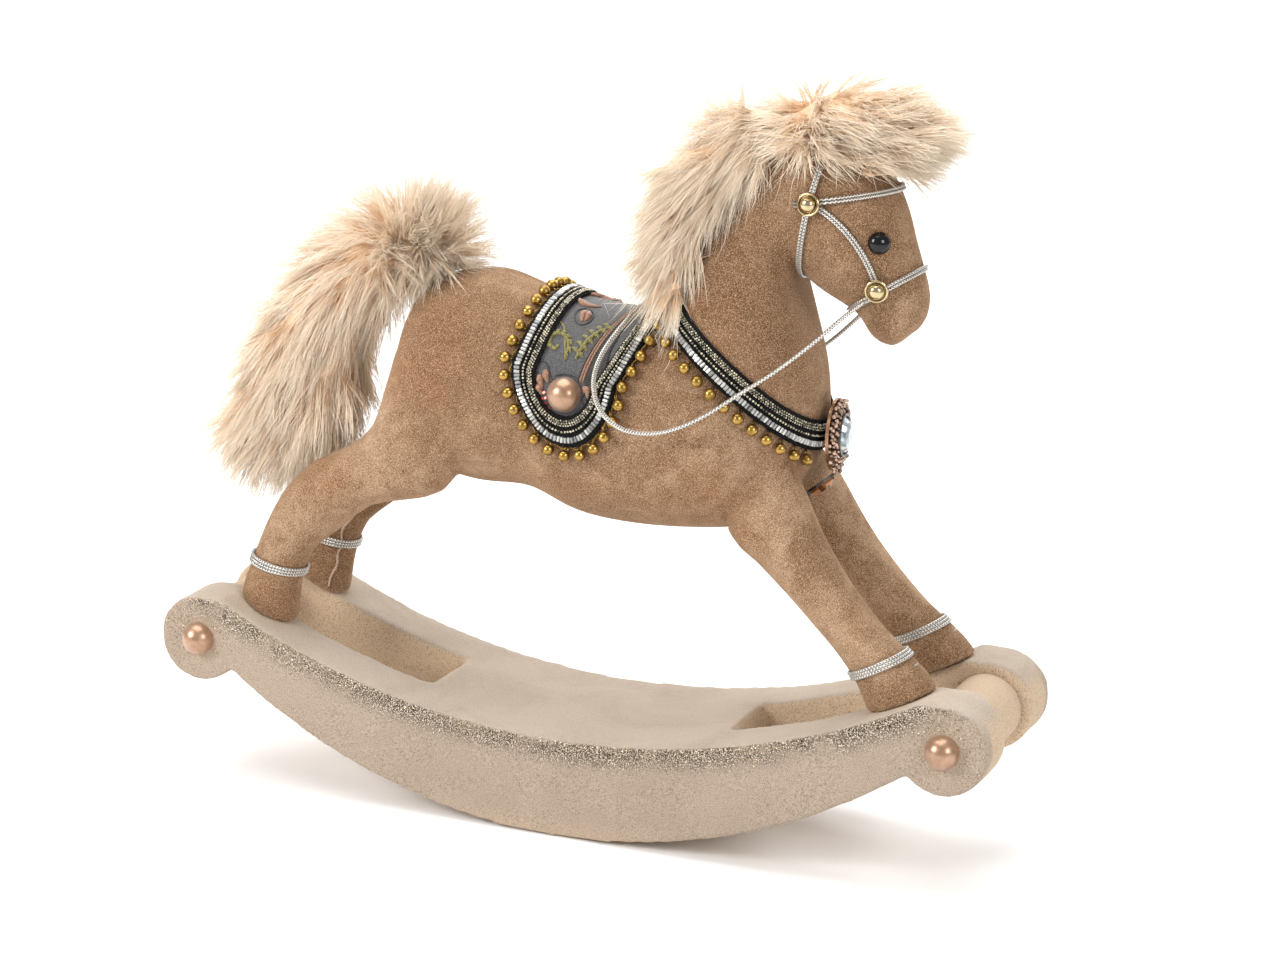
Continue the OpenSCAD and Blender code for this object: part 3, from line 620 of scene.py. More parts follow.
def rocker_velvet(name, settings):
    """Pale velvet of the rocker, with painted light making it creamier on top and painted shade making it
    darker tan between the rails.
    """
    face, top, inner = (tuple(c) for c in (settings.rocker_face, settings.rocker_lit_top, settings.rocker_inside_shade))
    f = Finish(name, Roughness=0.95, Sheen_Weight=0.4, Sheen_Roughness=0.4,
               Sheen_Tint=(*top, 1.0), Specular_IOR_Level=0.1)
    facing = f.split(f.node("NewGeometry").outputs["Normal"])
    place = f.split()
    side = f.math("ABSOLUTE", place["Y"])
    upward = f.span(facing["Z"], 0.35, 0.85)
    # Painted shade: the rails' faces between them, and the cover low in the slots at both ends
    between = f.math("MULTIPLY", f.span(side, RAIL_OUT * MM - 0.004, RAIL_OUT * MM - 0.007),
                     f.span(facing["Z"], 0.75, 0.35))
    ends = f.span(f.math("ABSOLUTE", place["X"]), 0.058, 0.064)
    low = f.math("MULTIPLY", f.span(side, 0.0172, 0.0166), ends)
    tips = f.noise(2500, 1.0, 0.5)
    flecks = f.noise(1250, 2.0, 0.6)
    brushed = f.noise(30, 4.0, 0.6, twist=0.8)
    # Painted light: faces turned up get the lighter top colour
    colour = f.mix(upward, face, top)
    colour = f.mix(f.span(brushed, 0.42, 0.7, 0.0, 0.5), colour, tuple(0.84 * v for v in face))
    # Painted shade: the inside colour laid over those faces
    tan = f.math("MAXIMUM", f.math("MULTIPLY", between, 0.9), f.math("MULTIPLY", low, 0.75))
    colour = f.mix(tan, colour, inner)
    # Painted shade: the inside colour laid into hollows found by ambient occlusion
    hollow = f.node("AmbientOcclusion", {"Distance": 0.012}, samples=6).outputs["AO"]
    colour = f.mix(f.span(hollow, 0.9, 0.3, 0.0, 0.7), colour, inner)
    coarse = f.span(upward, 0.0, 1.0, 1.0, 0.45)
    dark = tuple(0.38 * v for v in face)
    colour = f.mix(f.math("MULTIPLY", f.span(tips, 0.5, 0.34, 0.0, 0.55), coarse), colour, dark)
    colour = f.mix(f.math("MULTIPLY", f.span(flecks, 0.46, 0.3, 0.0, 0.4), coarse), colour, dark)
    colour = f.mix(f.span(tips, 0.55, 0.68, 0.0, 0.45), colour, top)
    # Glitter rubbed into the pile in a band just under the outer top edge
    below = f.math("SUBTRACT", place["Z"], (DECK_TOP + TOP_R) * MM)
    arm = f.node("CombineXYZ", {"X": place["X"], "Z": below}).outputs[0]
    reach = f.node("VectorMath", {0: arm}, operation="LENGTH").outputs["Value"]
    deep = f.math("SUBTRACT", reach, TOP_R * MM)
    worn = f.noise(55, 4.0, 0.65)
    band = f.math("MULTIPLY", f.span(deep, -0.0005, 0.0008), f.span(deep, 0.0115, 0.004))
    outer = f.math("MULTIPLY", f.span(side, 0.0385, 0.0395), f.span(facing["Z"], 0.75, 0.3))
    thick = f.math("MULTIPLY", f.math("MULTIPLY", band, outer), f.span(worn, 0.28, 0.52))
    grit = f.noise(2100, 1.0, 0.5)
    colour = f.mix(f.math("MULTIPLY", thick, f.span(grit, 0.55, 0.48, 0.0, 0.95)), colour, srgb(52, 42, 32))
    colour = f.mix(f.math("MULTIPLY", thick, f.span(grit, 0.57, 0.63, 0.0, 0.8)), colour, srgb(232, 222, 206))
    f.feed("Base Color", colour)
    relief = f.bump(f.noise(420, 3.0, 0.6), 0.35, 0.0008)
    f.feed("Normal", f.bump(tips, 0.8, 0.00035, relief))
    return f.material


def fur_finish(name, root, middle, tip):
    """Long pile: warm roots, cream tips, and locks of slightly different shades."""
    f = Finish(name, Roughness=0.62, Sheen_Weight=0.35, Sheen_Roughness=0.45, Sheen_Tint=(*tip, 1.0),
               Specular_IOR_Level=0.3)
    along = f.split(f.uv())["X"]
    lock = f.noise(85, 2.0, 0.6, twist=0.5)
    hair = f.noise(1100, 1.0, 0.5)
    drift = f.math("MULTIPLY_ADD", f.math("SUBTRACT", lock, 0.5), 0.7, along)
    colour = f.mix(f.span(drift, -0.05, 0.4), root, middle)
    colour = f.mix(f.span(drift, 0.25, 0.8), colour, tip)
    colour = f.mix(f.span(hair, 0.35, 0.65, 0.12, 0.0), colour, tuple(0.8 * v for v in middle))
    f.feed("Base Color", colour)
    return f.material


def underfur_finish(name, root, middle):
    """Dense short pile under the long hair."""
    f = Finish(name, Roughness=0.9, Sheen_Weight=0.4, Sheen_Roughness=0.5, Specular_IOR_Level=0.1)
    stretched = f.node("Mapping", {"Vector": f.where, "Scale": (1.0, 1.0, 0.35)}).outputs["Vector"]
    hair = f.noise(1500, 2.0, 0.6, stretched)
    lock = f.noise(140, 3.0, 0.6, stretched, twist=0.5)
    colour = f.mix(f.span(lock, 0.35, 0.7), root, middle)
    f.feed("Base Color", f.mix(f.span(hair, 0.35, 0.65, 0.3, 0.0), colour, tuple(0.75 * v for v in root)))
    f.feed("Normal", f.bump(hair, 0.9, 0.0008))
    return f.material


def pearl_finish(name):
    """Champagne lacquer over a dome, cloudy underneath and glossy on top."""
    f = Finish(name, Metallic=0.7, Roughness=0.36, Coat_Weight=0.6, Coat_Roughness=0.2,
               Sheen_Weight=0.25, Sheen_Tint=(1.0, 0.86, 0.78, 1.0))
    cloud = f.noise(160, 3.0, 0.5, twist=1.0)
    fleck = f.noise(2600, 2.0, 0.5)
    colour = f.mix(f.span(cloud, 0.35, 0.7), srgb(158, 120, 92), srgb(184, 146, 116))
    f.feed("Base Color", f.mix(f.span(fleck, 0.4, 0.7, 0.0, 0.2), colour, srgb(212, 178, 150)))
    f.feed("Roughness", f.span(cloud, 0.3, 0.7, 0.3, 0.4))
    f.feed("Normal", f.bump(fleck, 0.03, 0.00005))
    return f.material


def metal_finish(name, colour, deep, rough, tarnish=0.35, grain=1.0):
    """Plated metal, darker in the hollows."""
    f = Finish(name, Metallic=1.0, Roughness=rough)
    cloud = f.noise(420 * grain, 3.0, 0.6)
    hollow = f.node("AmbientOcclusion", {"Distance": 0.0015}, samples=6).outputs["AO"]
    worn = f.math("MULTIPLY", f.span(cloud, 0.42, 0.7), tarnish)
    shade = f.math("MAXIMUM", worn, f.span(hollow, 0.85, 0.3, 0.0, 0.85))
    f.feed("Base Color", f.mix(shade, colour, deep))
    f.feed("Roughness", f.span(cloud, 0.3, 0.75, rough * 0.8, min(1.0, rough * 1.5)))
    f.feed("Normal", f.bump(f.noise(1500 * grain, 2.0, 0.5), 0.12, 0.0001))
    return f.material


def bead_finish(name, light, dark, rough=0.16, metallic=0.75):
    """Small glass beads over foil, each with its own shade."""
    f = Finish(name, Metallic=metallic, Roughness=rough, Coat_Weight=0.8, Coat_Roughness=0.05)
    own = f.attribute("tint")
    cloud = f.noise(1400, 2.0, 0.6)
    shade = f.math("MULTIPLY_ADD", cloud, 0.3, f.math("MULTIPLY", own, 0.8))
    f.feed("Base Color", f.mix(f.span(shade, 0.1, 0.95), dark, light))
    f.feed("Roughness", f.span(cloud, 0.3, 0.7, rough * 0.7, rough * 1.8))
    return f.material


def cord_finish(name):
    """Silver metallic thread, braided, with painted shade in the gaps that run slantwise across it."""
    f = Finish(name, Metallic=0.85, Roughness=0.34, Sheen_Weight=0.2)
    uv = f.split(f.uv())
    threads = [f.math("SINE", f.math("MULTIPLY_ADD", uv["X"], math.tau, f.math("MULTIPLY", uv["Y"], turns)))
               for turns in (2 * math.tau, -2 * math.tau)]
    weave = f.math("MAXIMUM", *threads)
    glint = f.noise(1800, 2.0, 0.6)
    # Painted shade: the dark colour in the gaps between the threads
    colour = f.mix(f.span(weave, -0.1, 0.9), srgb(104, 98, 90), srgb(224, 219, 211))
    f.feed("Base Color", f.mix(f.span(glint, 0.55, 0.75, 0.0, 0.6), colour, srgb(244, 242, 238)))
    f.feed("Normal", f.bump(weave, 0.7, 0.00012))
    return f.material


def tape_finish(name):
    """Black woven tape with a faint cross rib."""
    f = Finish(name, Roughness=0.9, Specular_IOR_Level=0.12)
    rib = f.noise(1800, 2.0, 0.6)
    f.feed("Base Color", f.mix(f.span(rib, 0.4, 0.7), (0.004, 0.004, 0.004), (0.02, 0.018, 0.017)))
    f.feed("Normal", f.bump(rib, 0.8, 0.0002))
    return f.material


def brocade_finish(name):
    """Slate satin ground with a fine rib across it."""
    f = Finish(name, Roughness=0.62, Sheen_Weight=0.35, Sheen_Roughness=0.35,
               Specular_IOR_Level=0.35)
    uv = f.split(f.uv())
    rib_pitch, warp_pitch = 0.0005, 0.0007
    rib = f.math("SINE", f.math("MULTIPLY", uv["X"], math.tau / rib_pitch))
    warp = f.math("SINE", f.math("MULTIPLY", uv["Y"], math.tau / warp_pitch))
    cloud = f.noise(210, 3.0, 0.6)
    weave = f.math("MULTIPLY", rib, warp)
    slub = f.noise(1500, 2.0, 0.6)
    weave = f.math("MULTIPLY_ADD", f.math("SUBTRACT", slub, 0.5), 3.0, weave)
    colour = f.mix(f.span(weave, -0.7, 0.8), srgb(48, 48, 50), srgb(108, 107, 108))
    f.feed("Base Color", f.mix(f.span(cloud, 0.45, 0.75, 0.0, 0.4), colour, srgb(86, 80, 72)))
    f.feed("Normal", f.bump(weave, 0.5, 0.0001))
    return f.material


def thread_finish(name, light, dark):
    """Embroidery thread."""
    f = Finish(name, Roughness=0.5, Sheen_Weight=0.3, Specular_IOR_Level=0.4)
    strand = f.noise(2600, 2.0, 0.7)
    f.feed("Base Color", f.mix(f.span(strand, 0.38, 0.64), dark, light))
    f.feed("Normal", f.bump(strand, 0.7, 0.00015))
    return f.material


def gem_finish(name, colour, shaded_facet_colour, rough=0.02):
    """Foil-backed cut glass: bright where a facet turns to the light, dark where it turns away."""
    f = Finish(name, Roughness=rough, Metallic=0.35, Coat_Weight=1.0, Coat_Roughness=0.02, IOR=1.56)
    # Painted light and shade: each facet cell gets its own level between the shaded colour and the bright one
    facets = f.cells(420)
    level = f.node("SeparateColor", {0: facets}).outputs[0]
    f.feed("Base Color", f.mix(f.span(level, 0.1, 0.9), shaded_facet_colour, colour))
    f.feed("Normal", f.bump(level, 0.35, 0.0004))
    return f.material


def plain_finish(name, colour, dark, rough, scale=300, metallic=0.0):
    """Turned wood or plain metal of a part that is hidden inside."""
    f = Finish(name, Roughness=rough, Metallic=metallic)
    grain = f.noise(scale, 4.0, 0.6, f.node("Mapping", {"Vector": f.where, "Scale": (1, 0.15, 1)}).outputs[0])
    f.feed("Base Color", f.mix(f.span(grain, 0.35, 0.7), dark, colour))
    f.feed("Normal", f.bump(grain, 0.2, 0.0003))
    return f.material


FINISHES = {}


def finish(name, make, *args):
    """The material of that name, made the first time it is asked for."""
    if name not in FINISHES:
        FINISHES[name] = make(name, *args)
    return FINISHES[name]


# ---------------------------------------------------------------------------
# What a user would change
# ---------------------------------------------------------------------------
def colour_property(name, description, default):
    """A colour that a user can set."""
    return bpy.props.FloatVectorProperty(name=name, description=description, default=default, size=3,
                                         min=0.0, max=1.0, subtype="COLOR")


def length_property(name, description, default, low, high):
    """A length that a user can set, in metres."""
    return bpy.props.FloatProperty(name=name, description=description, default=default, min=low, max=high,
                                   unit="LENGTH", subtype="DISTANCE")


class VelvetSettings(bpy.types.PropertyGroup):
    """Velvet of the horse and of the rocker."""

    ground: colour_property("Horse velvet", "Colour of the horse's velvet", srgb(146, 112, 82))
    # Besides the brushed pile, the nap colour is the painted highlight on sharp edges and the painted light
    # of the lighter patches
    nap: colour_property("Brushed nap", "Colour of the pile where it is brushed up", srgb(202, 172, 142))
    # The crease colour is painted shade in the creases and on the darker patches, and the deepest tone of the
    # brushed pile
    shade: colour_property("Crease", "Colour of the pile in the creases", srgb(106, 70, 42))
    voxel: length_property("Skin detail", "Smallest step in the horse's skin", 0.00125, 0.0008, 0.003)
    rocker_face: colour_property("Rocker sides", "Velvet on the rocker's sides", srgb(174, 156, 138))
    # The top colour is painted light on the faces turned up
    rocker_lit_top: colour_property("Rocker top", "Velvet on the rocker's top", srgb(188, 174, 159))
    # The inside colour is painted shade between the rails, low in the slots and in hollows
    rocker_inside_shade: colour_property("Rocker inside", "Velvet between the rails", srgb(206, 180, 150))
    glitter: bpy.props.IntProperty(name="Glitter", description="Flakes on one side of the rocker",
                                   default=9000, min=0, max=15000)


class FurSettings(bpy.types.PropertyGroup):
    """Long pile of the mane, forelock and tail."""

    root: colour_property("Root", "Colour of the pile at its root", srgb(236, 194, 152))
    middle: colour_property("Middle", "Colour half way along the pile", srgb(246, 216, 182))
    tip: colour_property("Tip", "Colour of the pile's tips", srgb(254, 241, 221))
    thickness: length_property("Hair", "Thickness of one hair", 0.00026, 0.0001, 0.001)
    mane_length: length_property("Mane pile", "Length of the mane's hair", 0.026, 0.01, 0.05)
    tail_length: length_property("Tail pile", "Length of the tail's hair", 0.027, 0.01, 0.06)


class TrimSettings(bpy.types.PropertyGroup):
    """Beads, balls, pearls and cords."""

    bugle: length_property("Bugle bead", "Length of a bugle bead", 0.0021, 0.001, 0.004)
    ball: length_property("Fringe ball", "Diameter of a fringe ball", 0.0044, 0.002, 0.006)
    pearl: length_property("Pearl", "Diameter of a domed pearl", PEARL_D * MM, 0.006, 0.016)
    cord: length_property("Cord", "Thickness of one strand of silver cord", 0.0013, 0.0006, 0.002)


def settings():
    """The scene's velvet, fur and trim settings."""
    return tuple(getattr(bpy.context.scene, name) for name in GROUPS)


# ---------------------------------------------------------------------------
# Silver cords
# ---------------------------------------------------------------------------
# Length of one turn of the cord's braid
LAY = 0.0011
REIN_POINTS = [
    [107, -17, 172], [100, -19, 166], [91, -23, 157], [80, -29, 147], [68, -36, 138], [54, -40.5, 128],
    [40, -42, 122], [27, -43, 122], [18, -43, 128], [15, -43, 138], [16, -39, 147], [19, -31, 155],
    [21, -18.5, 160.5], [21, -6, 162.5],
]
# Studs as positions on the head: row and angle
TOP_STUD = np.array([1.35, 81])
LOW_STUD = np.array([4.9, 93])


def strands_beside(line, gap, count, sideways, closed=False):
    """Lines that run beside each other along a middle line, carried along it without twisting."""
    line = np.asarray(line, float)
    ahead = np.roll(line, -1, 0) if closed else np.vstack([line[1:], line[-1:]])
    behind = np.roll(line, 1, 0) if closed else np.vstack([line[:1], line[:-1]])
    course = unit(ahead - behind)
    if np.ndim(sideways) == 1:
        side = unit(np.cross(course[0], sideways))
        sides = []
        for t in course:
            side = unit(side - (side @ t) * t)
            sides.append(side)
        sides = np.array(sides)
    else:
        sides = unit(np.cross(course, sideways))
    return [line + sides * gap * (k - (count - 1) / 2) for k in range(count)]


def line_length(line, closed=False):
    """Length of a line in metres."""
    line = np.vstack([line, line[:1]]) if closed else line
    return float(np.linalg.norm(np.diff(line, axis=0), axis=1).sum())


def silver_cord(name, lines, width, replaces=(), closed=False):
    """Strands of silver cord along lines."""
    pitches = line_length(lines[0], closed) / LAY
    data = as_mesh(cord_curve(name, lines, width, closed, sides=2), name, pitches)
    return shown(name, data, finish("silver_cord", cord_finish), replaces)


def head_plane_line(a, b, low, high, first, last, steps, height):
    """Line round the head in the plane through two spots on its middle section."""
    normal = unit(np.array([b[2] - a[2], 0, a[0] - b[0]]))
    phi = np.linspace(first, last, steps)
    u = HEAD.crossing(phi, normal, normal @ a, low, high)
    return HEAD.above(u, phi, height), HEAD.out(u, phi)


class RockingHorseReins(bpy.types.Operator):
    """Two strands of silver cord from stud to stud, over the saddle"""

    bl_idname = "rocking_horse.reins"
    bl_label = "Reins"

    def execute(self, context):
        trim = settings()[2]
        right = (np.array(REIN_POINTS) * [SX, 1, 1] + [0, 0, DECK_TOP]) * MM
        middle = flowing(np.vstack([right, mirrored(right)[::-1]]), 6)
        strands = strands_beside(middle, trim.cord, 2, [1, 0.3, -1])
        for name, line in zip(("reins_upper_cord", "reins_lower_cord"), strands):
            piece = silver_cord(name, [line], trim.cord, ["reins"])
        return {"FINISHED"}


class RockingHorseBridle(bpy.types.Operator):
    """Bridle cords, gold studs and the bands round the fetlocks"""

    bl_idname = "rocking_horse.bridle"
    bl_label = "Bridle and bands"

    def execute(self, context):
        width = settings()[2].cord * 0.92
        height = width / 2 + 0.0002
        # Two spots that the band's plane goes through, rows to look between, angles, steps and height
        bands = (
            ("browband", (86, 205.5), (114, 210.5), 0.5, 6, -84, 84, 72, height + 0.0003, False),
            ("noseband", (100, 168), (125, 184), 2, 8.5, 0, 356, 90, height, True),
            ("throatlatch", (79.5, 178), (90, 228), 0.1, 4, 52, 308, 80, height, False),
        )
        for band, a, b, low, high, first, last, steps, off, closed in bands:
            line, out = head_plane_line(spot(*a), spot(*b), low, high, first, last, steps, off)
            strands = strands_beside(line, width, 2, out, closed=closed)
            silver_cord(band + "_cords", strands, width, [band], closed=closed)
        t = np.linspace(0.06, 0.94, 40)[:, None]
        u, phi = (TOP_STUD * (1 - t) + LOW_STUD * t).T
        cheek, out = HEAD.above(u, phi, height), HEAD.out(u, phi)
        lines = strands_beside(cheek, width, 2, out)
        silver_cord("cheek_cords", lines + [mirrored(line) for line in lines], width, ["cheek_straps"])
        self.studs()
        steps, width = 72, 0.00125
        for name, form, middle in (("hind", HIND, 6.85), ("fore", FORE, 5.72)):
            angles = np.arange(steps) * 360 / steps
            lines = [form.at(np.full(steps, middle + k * 0.1), angles, 0.0006) for k in (-1, 0, 1)]
            for side, turned in (("right", lines), ("left", [mirrored(line) for line in lines])):
                silver_cord(f"{side}_{name}_fetlock_cords", turned, width, [f"{side}_{name}_band"],
                            closed=True)
        return {"FINISHED"}

    def studs(self):
        """Turned studs: a rim, a groove and a dome."""
        bm = bmesh.new()
        profile = [(4.1, 0), (4.35, 0.45), (4.25, 0.95), (3.9, 1.2), (3.55, 1.1), (3.3, 0.7), (3.1, 0.5),
                   (3.0, 0.9), (2.8, 1.8), (2.3, 2.65), (1.6, 3.15), (0.8, 3.42), (0.0, 3.5)]
        verts = [bm.verts.new((r * MM, 0, z * MM)) for r, z in profile]
        edges = [bm.edges.new(pair) for pair in zip(verts, verts[1:])]
        bmesh.ops.spin(bm, geom=verts + edges, cent=(0, 0, 0), axis=(0, 0, 1), angle=math.tau, steps=40,
                       use_merge=True)
        bmesh.ops.remove_doubles(bm, verts=bm.verts, dist=SAME)
        capped(bm)
        bmesh.ops.recalc_face_normals(bm, faces=bm.faces)
        points, ups = [], []
        for u, phi in (TOP_STUD, LOW_STUD):
            at, out = HEAD.above(u, phi, 0.0021), HEAD.out(u, phi)
            points += [at, mirrored(at)]
            ups += [out, mirrored(out)]
        data = copies(bm, stood(points, ups), "bridle_stud_domes")
        gold = finish("stud_gold", metal_finish, srgb(210, 190, 148), srgb(74, 56, 32), 0.16, 0.2)
        shown("bridle_stud_domes", data, gold, ["bridle_studs"])


# ---------------------------------------------------------------------------
# Velvet
# ---------------------------------------------------------------------------
def remeshed(data, name, voxel, rounds):
    """One even skin round everything in a mesh, smoothed over."""
    return modified(data, name, ("REMESH", {"mode": "VOXEL", "voxel_size": voxel, "use_smooth_shade": True}),
                    ("SMOOTH", {"factor": 0.5, "iterations": rounds}))


def clouds(name, size):
    """A soft noise that pushes a skin in and out."""
    texture = bpy.data.textures.get(name) or bpy.data.textures.new(name, "CLOUDS")
    texture.noise_scale = size
    return texture


class RockingHorseSkin(bpy.types.Operator):
    """The horse's velvet over its body, head and legs, with the glued seams on the legs"""

    bl_idname = "rocking_horse.skin"
    bl_label = "Horse velvet"

    def execute(self, context):
        colours = settings()[0]
        legs = ["right_hind_leg", "left_hind_leg", "right_fore_leg", "left_fore_leg"]
        bm = shape_of(*legs)
        lofted(bm, BARREL, 72, 72)
        lofted(bm, POLL, 30, 48, 0.5, 5.5, -0.0002)
        lofted(bm, HEAD, 54, 64)
        data = remeshed(mesh_of(bm, "horse_velvet"), "horse_velvet", colours.voxel, 7)
        skin = finish("horse_velvet", velvet, tuple(colours.ground), tuple(colours.nap),
                      tuple(colours.shade), 1.0)
        piece = shown("horse_velvet", data, skin, ["body", "head", *legs])
        self.seams()
        return {"FINISHED"}

    def seams(self):
        """Raised glued edges of the velvet down the inner side of each leg."""
        rng = np.random.default_rng(11)
        pale = finish("seam_edge", velvet, srgb(206, 172, 142), srgb(238, 222, 204), srgb(150, 104, 70), 1.3)
        steps = 60
        lines, widths = [], []
        for form, last, angle in ((HIND, 8.35, 232), (FORE, 7.3, 228)):
            u = np.linspace(2.6, last, steps)
            wander = angle + 5 * np.sin(u * 2.3) + 2.5 * np.sin(u * 7.1)
            line = form.above(u, wander, 0.0)
            lines += [line, mirrored(line)]
            ragged = 0.75 + 0.5 * rng.random(steps)
            widths += [ragged, ragged]
        data = as_mesh(cord_curve("leg_seams", lines, 0.0009, radii=widths), "leg_seams")
        shown("leg_seams", data, pale)


class RockingHorseRocker(bpy.types.Operator):
    """The rocker's padded velvet cover, its two round bars, the glitter and the pearls"""

    bl_idname = "rocking_horse.rocker"
    bl_label = "Rocker"

    def execute(self, context):
        colours, _, trim = settings()
        cover_finish = finish("rocker_velvet", rocker_velvet, colours)
        covered = ["rocker_rail_right", "rocker_rail_left", "rocker_deck"]
        data = remeshed(mesh_of(shape_of(*covered), "rocker_cover"), "rocker_cover", 0.00125, 9)
        padding = {"texture": clouds("uneven_padding", 0.022), "texture_coords": "GLOBAL", "strength": 0.0011,
                   "mid_level": 0.5}
        data = modified(data, "rocker_cover", ("DISPLACE", padding))
        cover = shown("rocker_cover", data, cover_finish, covered)
        for node, name in (("front_crossbar", "front_bar_cover"), ("rear_crossbar", "rear_bar_cover")):
            low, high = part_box(node)
            bm = bmesh.new()
            radius = (high[2] - low[2]) / 2
            bmesh.ops.create_cone(bm, cap_ends=True, segments=64, radius1=radius, radius2=radius,
                                  depth=high[1] - low[1])
            rims = [e for e in bm.edges if abs(e.verts[0].co.z - e.verts[1].co.z) < 1e-7]
            bmesh.ops.bevel(bm, geom=rims, offset=0.0012, segments=3, profile=0.5, affect="EDGES",
                            material=-1)
            bmesh.ops.rotate(bm, verts=bm.verts, matrix=Matrix.Rotation(math.pi / 2, 3, "X"))
            bmesh.ops.translate(bm, verts=bm.verts, vec=(Vector(low) + Vector(high)) / 2)
            shown(name, mesh_of(bm, name), cover_finish, [node])
        self.glitter(cover, colours.glitter)
        ends = [(x, side) for x in (-SCROLL_X, SCROLL_X) for side in (-1, 1)]
        points = [(x * MM, side * (RAIL_OUT + 0.1) * MM, SCROLL_Z * MM) for x, side in ends]
        ups = [(0, side, 0) for _, side in ends]
        pearls("rocker_pearl_domes", points, ups, trim.pearl, ["rocker_pearls"])
        return {"FINISHED"}

    def glitter(self, cover, count):
        """Flakes scattered along the outer face's upper edge and over the upper half of the scrolls."""
        rng = np.random.default_rng(5)
        skin = BVHTree.FromObject(cover, bpy.context.evaluated_depsgraph_get())
        places = []
        for side in (-1, 1):
            along = rng.uniform(-136, 136, count)
            deep = 0.6 + rng.gamma(1.7, 1.75, count)
            keep = np.sin(along * 0.11 + side) + np.sin(along * 0.043) + rng.normal(0, 1.1, count) > -1.2
            x, z = along, DECK_TOP + TOP_R - np.sqrt((TOP_R + deep) ** 2 - along**2)
            part = count // 4
            turn = rng.uniform(-0.35, 1.2, part) * math.pi
            reach = rng.uniform(7.5, 16.3, part)
            spread = rng.random(part) < np.clip(1.15 - np.abs(turn / math.pi - 0.45), 0, 1) ** 2
            end = rng.choice([-1, 1], part)
            ring_x = end * (SCROLL_X + np.cos(turn) * reach)
            ring_z = SCROLL_Z + np.sin(turn) * reach
            few = 60
            low = rng.uniform(-0.75, -0.25, few) * math.pi
            low_x = rng.choice([-1, 1], few) * (SCROLL_X + np.cos(low) * 15.0)
            low_z = SCROLL_Z + np.sin(low) * rng.normal(13.8, 0.8, few)
            xs = np.concatenate([x[keep], ring_x[spread], low_x])
            zs = np.concatenate([z[keep], ring_z[spread], low_z])
            for a, b in zip(xs, zs):
                start = Vector((a * MM, side * 0.06, b * MM))
                hit, normal, _, _ = skin.ray_cast(start, Vector((0, -side, 0)), 0.03)
                if hit is not None:
                    places.append((*(hit + normal * 0.00004), *normal))
        places = np.array(places)
        lean = unit(places[:, 3:] + rng.normal(0, 0.55, (len(places), 3)))
        bm = bmesh.new()
        bmesh.ops.create_cone(bm, cap_ends=True, segments=5, radius1=0.5, radius2=0.28, depth=0.3)
        turned = rng.normal(0, 1, (len(places), 3))
        flakes = stood(places[:, :3], lean, turned, rng.uniform(0.24, 0.56, len(places)) * MM)
        data = copies(bm, flakes, "rocker_glitter", rng.random(len(places)))
        flake = finish("glitter", bead_finish, srgb(222, 202, 174), srgb(52, 38, 26), 0.22, 0.8)
        shown("rocker_glitter", data, flake, smooth=False)


def pearls(name, points, ups, width, replaces):
    """Domes: the outer half of a ball, closed underneath."""
    bm = bmesh.new()
    bmesh.ops.create_uvsphere(bm, u_segments=48, v_segments=32, radius=width / 2)
    everything = bm.verts[:] + bm.edges[:] + bm.faces[:]
    bmesh.ops.bisect_plane(bm, geom=everything, plane_co=(0, 0, -0.00005), plane_no=(0, 0, 1),
                           clear_inner=True)
    capped(bm)
    data = copies(bm, stood(points, ups), name)
    return shown(name, data, finish("pearl_lacquer", pearl_finish), replaces)


class RockingHorseEyes(bpy.types.Operator):
    """Two polished black eyes"""

    bl_idname = "rocking_horse.eyes"
    bl_label = "Eyes"

    def execute(self, context):
        bm = bmesh.new()
        bmesh.ops.create_uvsphere(bm, u_segments=40, v_segments=24, radius=1.0)
        bmesh.ops.scale(bm, vec=(0.0041, 0.0041, 0.0036), verts=bm.verts)
        row, angle = 4.0, 66
        at, out = HEAD.above(row, angle, 0.0001), HEAD.out(row, angle)
        data = copies(bm, stood([at, mirrored(at)], [out, mirrored(out)]), "eye_domes")
        f = Finish("eye_black", Roughness=0.07, Specular_IOR_Level=0.4)
        f.feed("Base Color", f.mix(f.noise(600, 2.0), (0.002, 0.002, 0.003), (0.007, 0.007, 0.009)))
        f.feed("Normal", f.bump(f.noise(220, 2.0), 0.05, 0.0002))
        shown("eye_domes", data, f.material, ["right_eye", "left_eye"])
        return {"FINISHED"}


# ---------------------------------------------------------------------------
# Fur
# ---------------------------------------------------------------------------
def smooth_step(value, low, high):
    """From 0 at low to 1 at high, without a kink."""
    t = np.clip((value - low) / (high - low), 0, 1)
    return t * t * (3 - 2 * t)


def underfur(name, node, shrink):
    """Short dense pile that fills the shape under the long hair."""
    _, fur, _ = settings()
    step, rounds = 0.0016, 6
    data = remeshed(mesh_of(shape_of(node), name), name, step, rounds)
    tufts = {"texture": clouds("tufts", 0.007), "texture_coords": "GLOBAL", "strength": 0.004,
             "mid_level": 0.5}
    data = modified(data, name, ("DISPLACE", {"strength": -shrink, "mid_level": 0.0}), ("DISPLACE", tufts))
    look = finish("underfur", underfur_finish, tuple(fur.root), tuple(fur.middle))
    return shown(name, data, look, [node])


def swirl(points, size, rng):
    """A smooth random direction at each point, which turns about once in the given size."""
    waves = rng.normal(0, 1, (6, 3)) * math.tau / size / 1.7
    phases = rng.uniform(0, math.tau, (6, 3))
    return np.sin((points @ waves.T)[:, :, None] + phases).sum(1) / 2.4


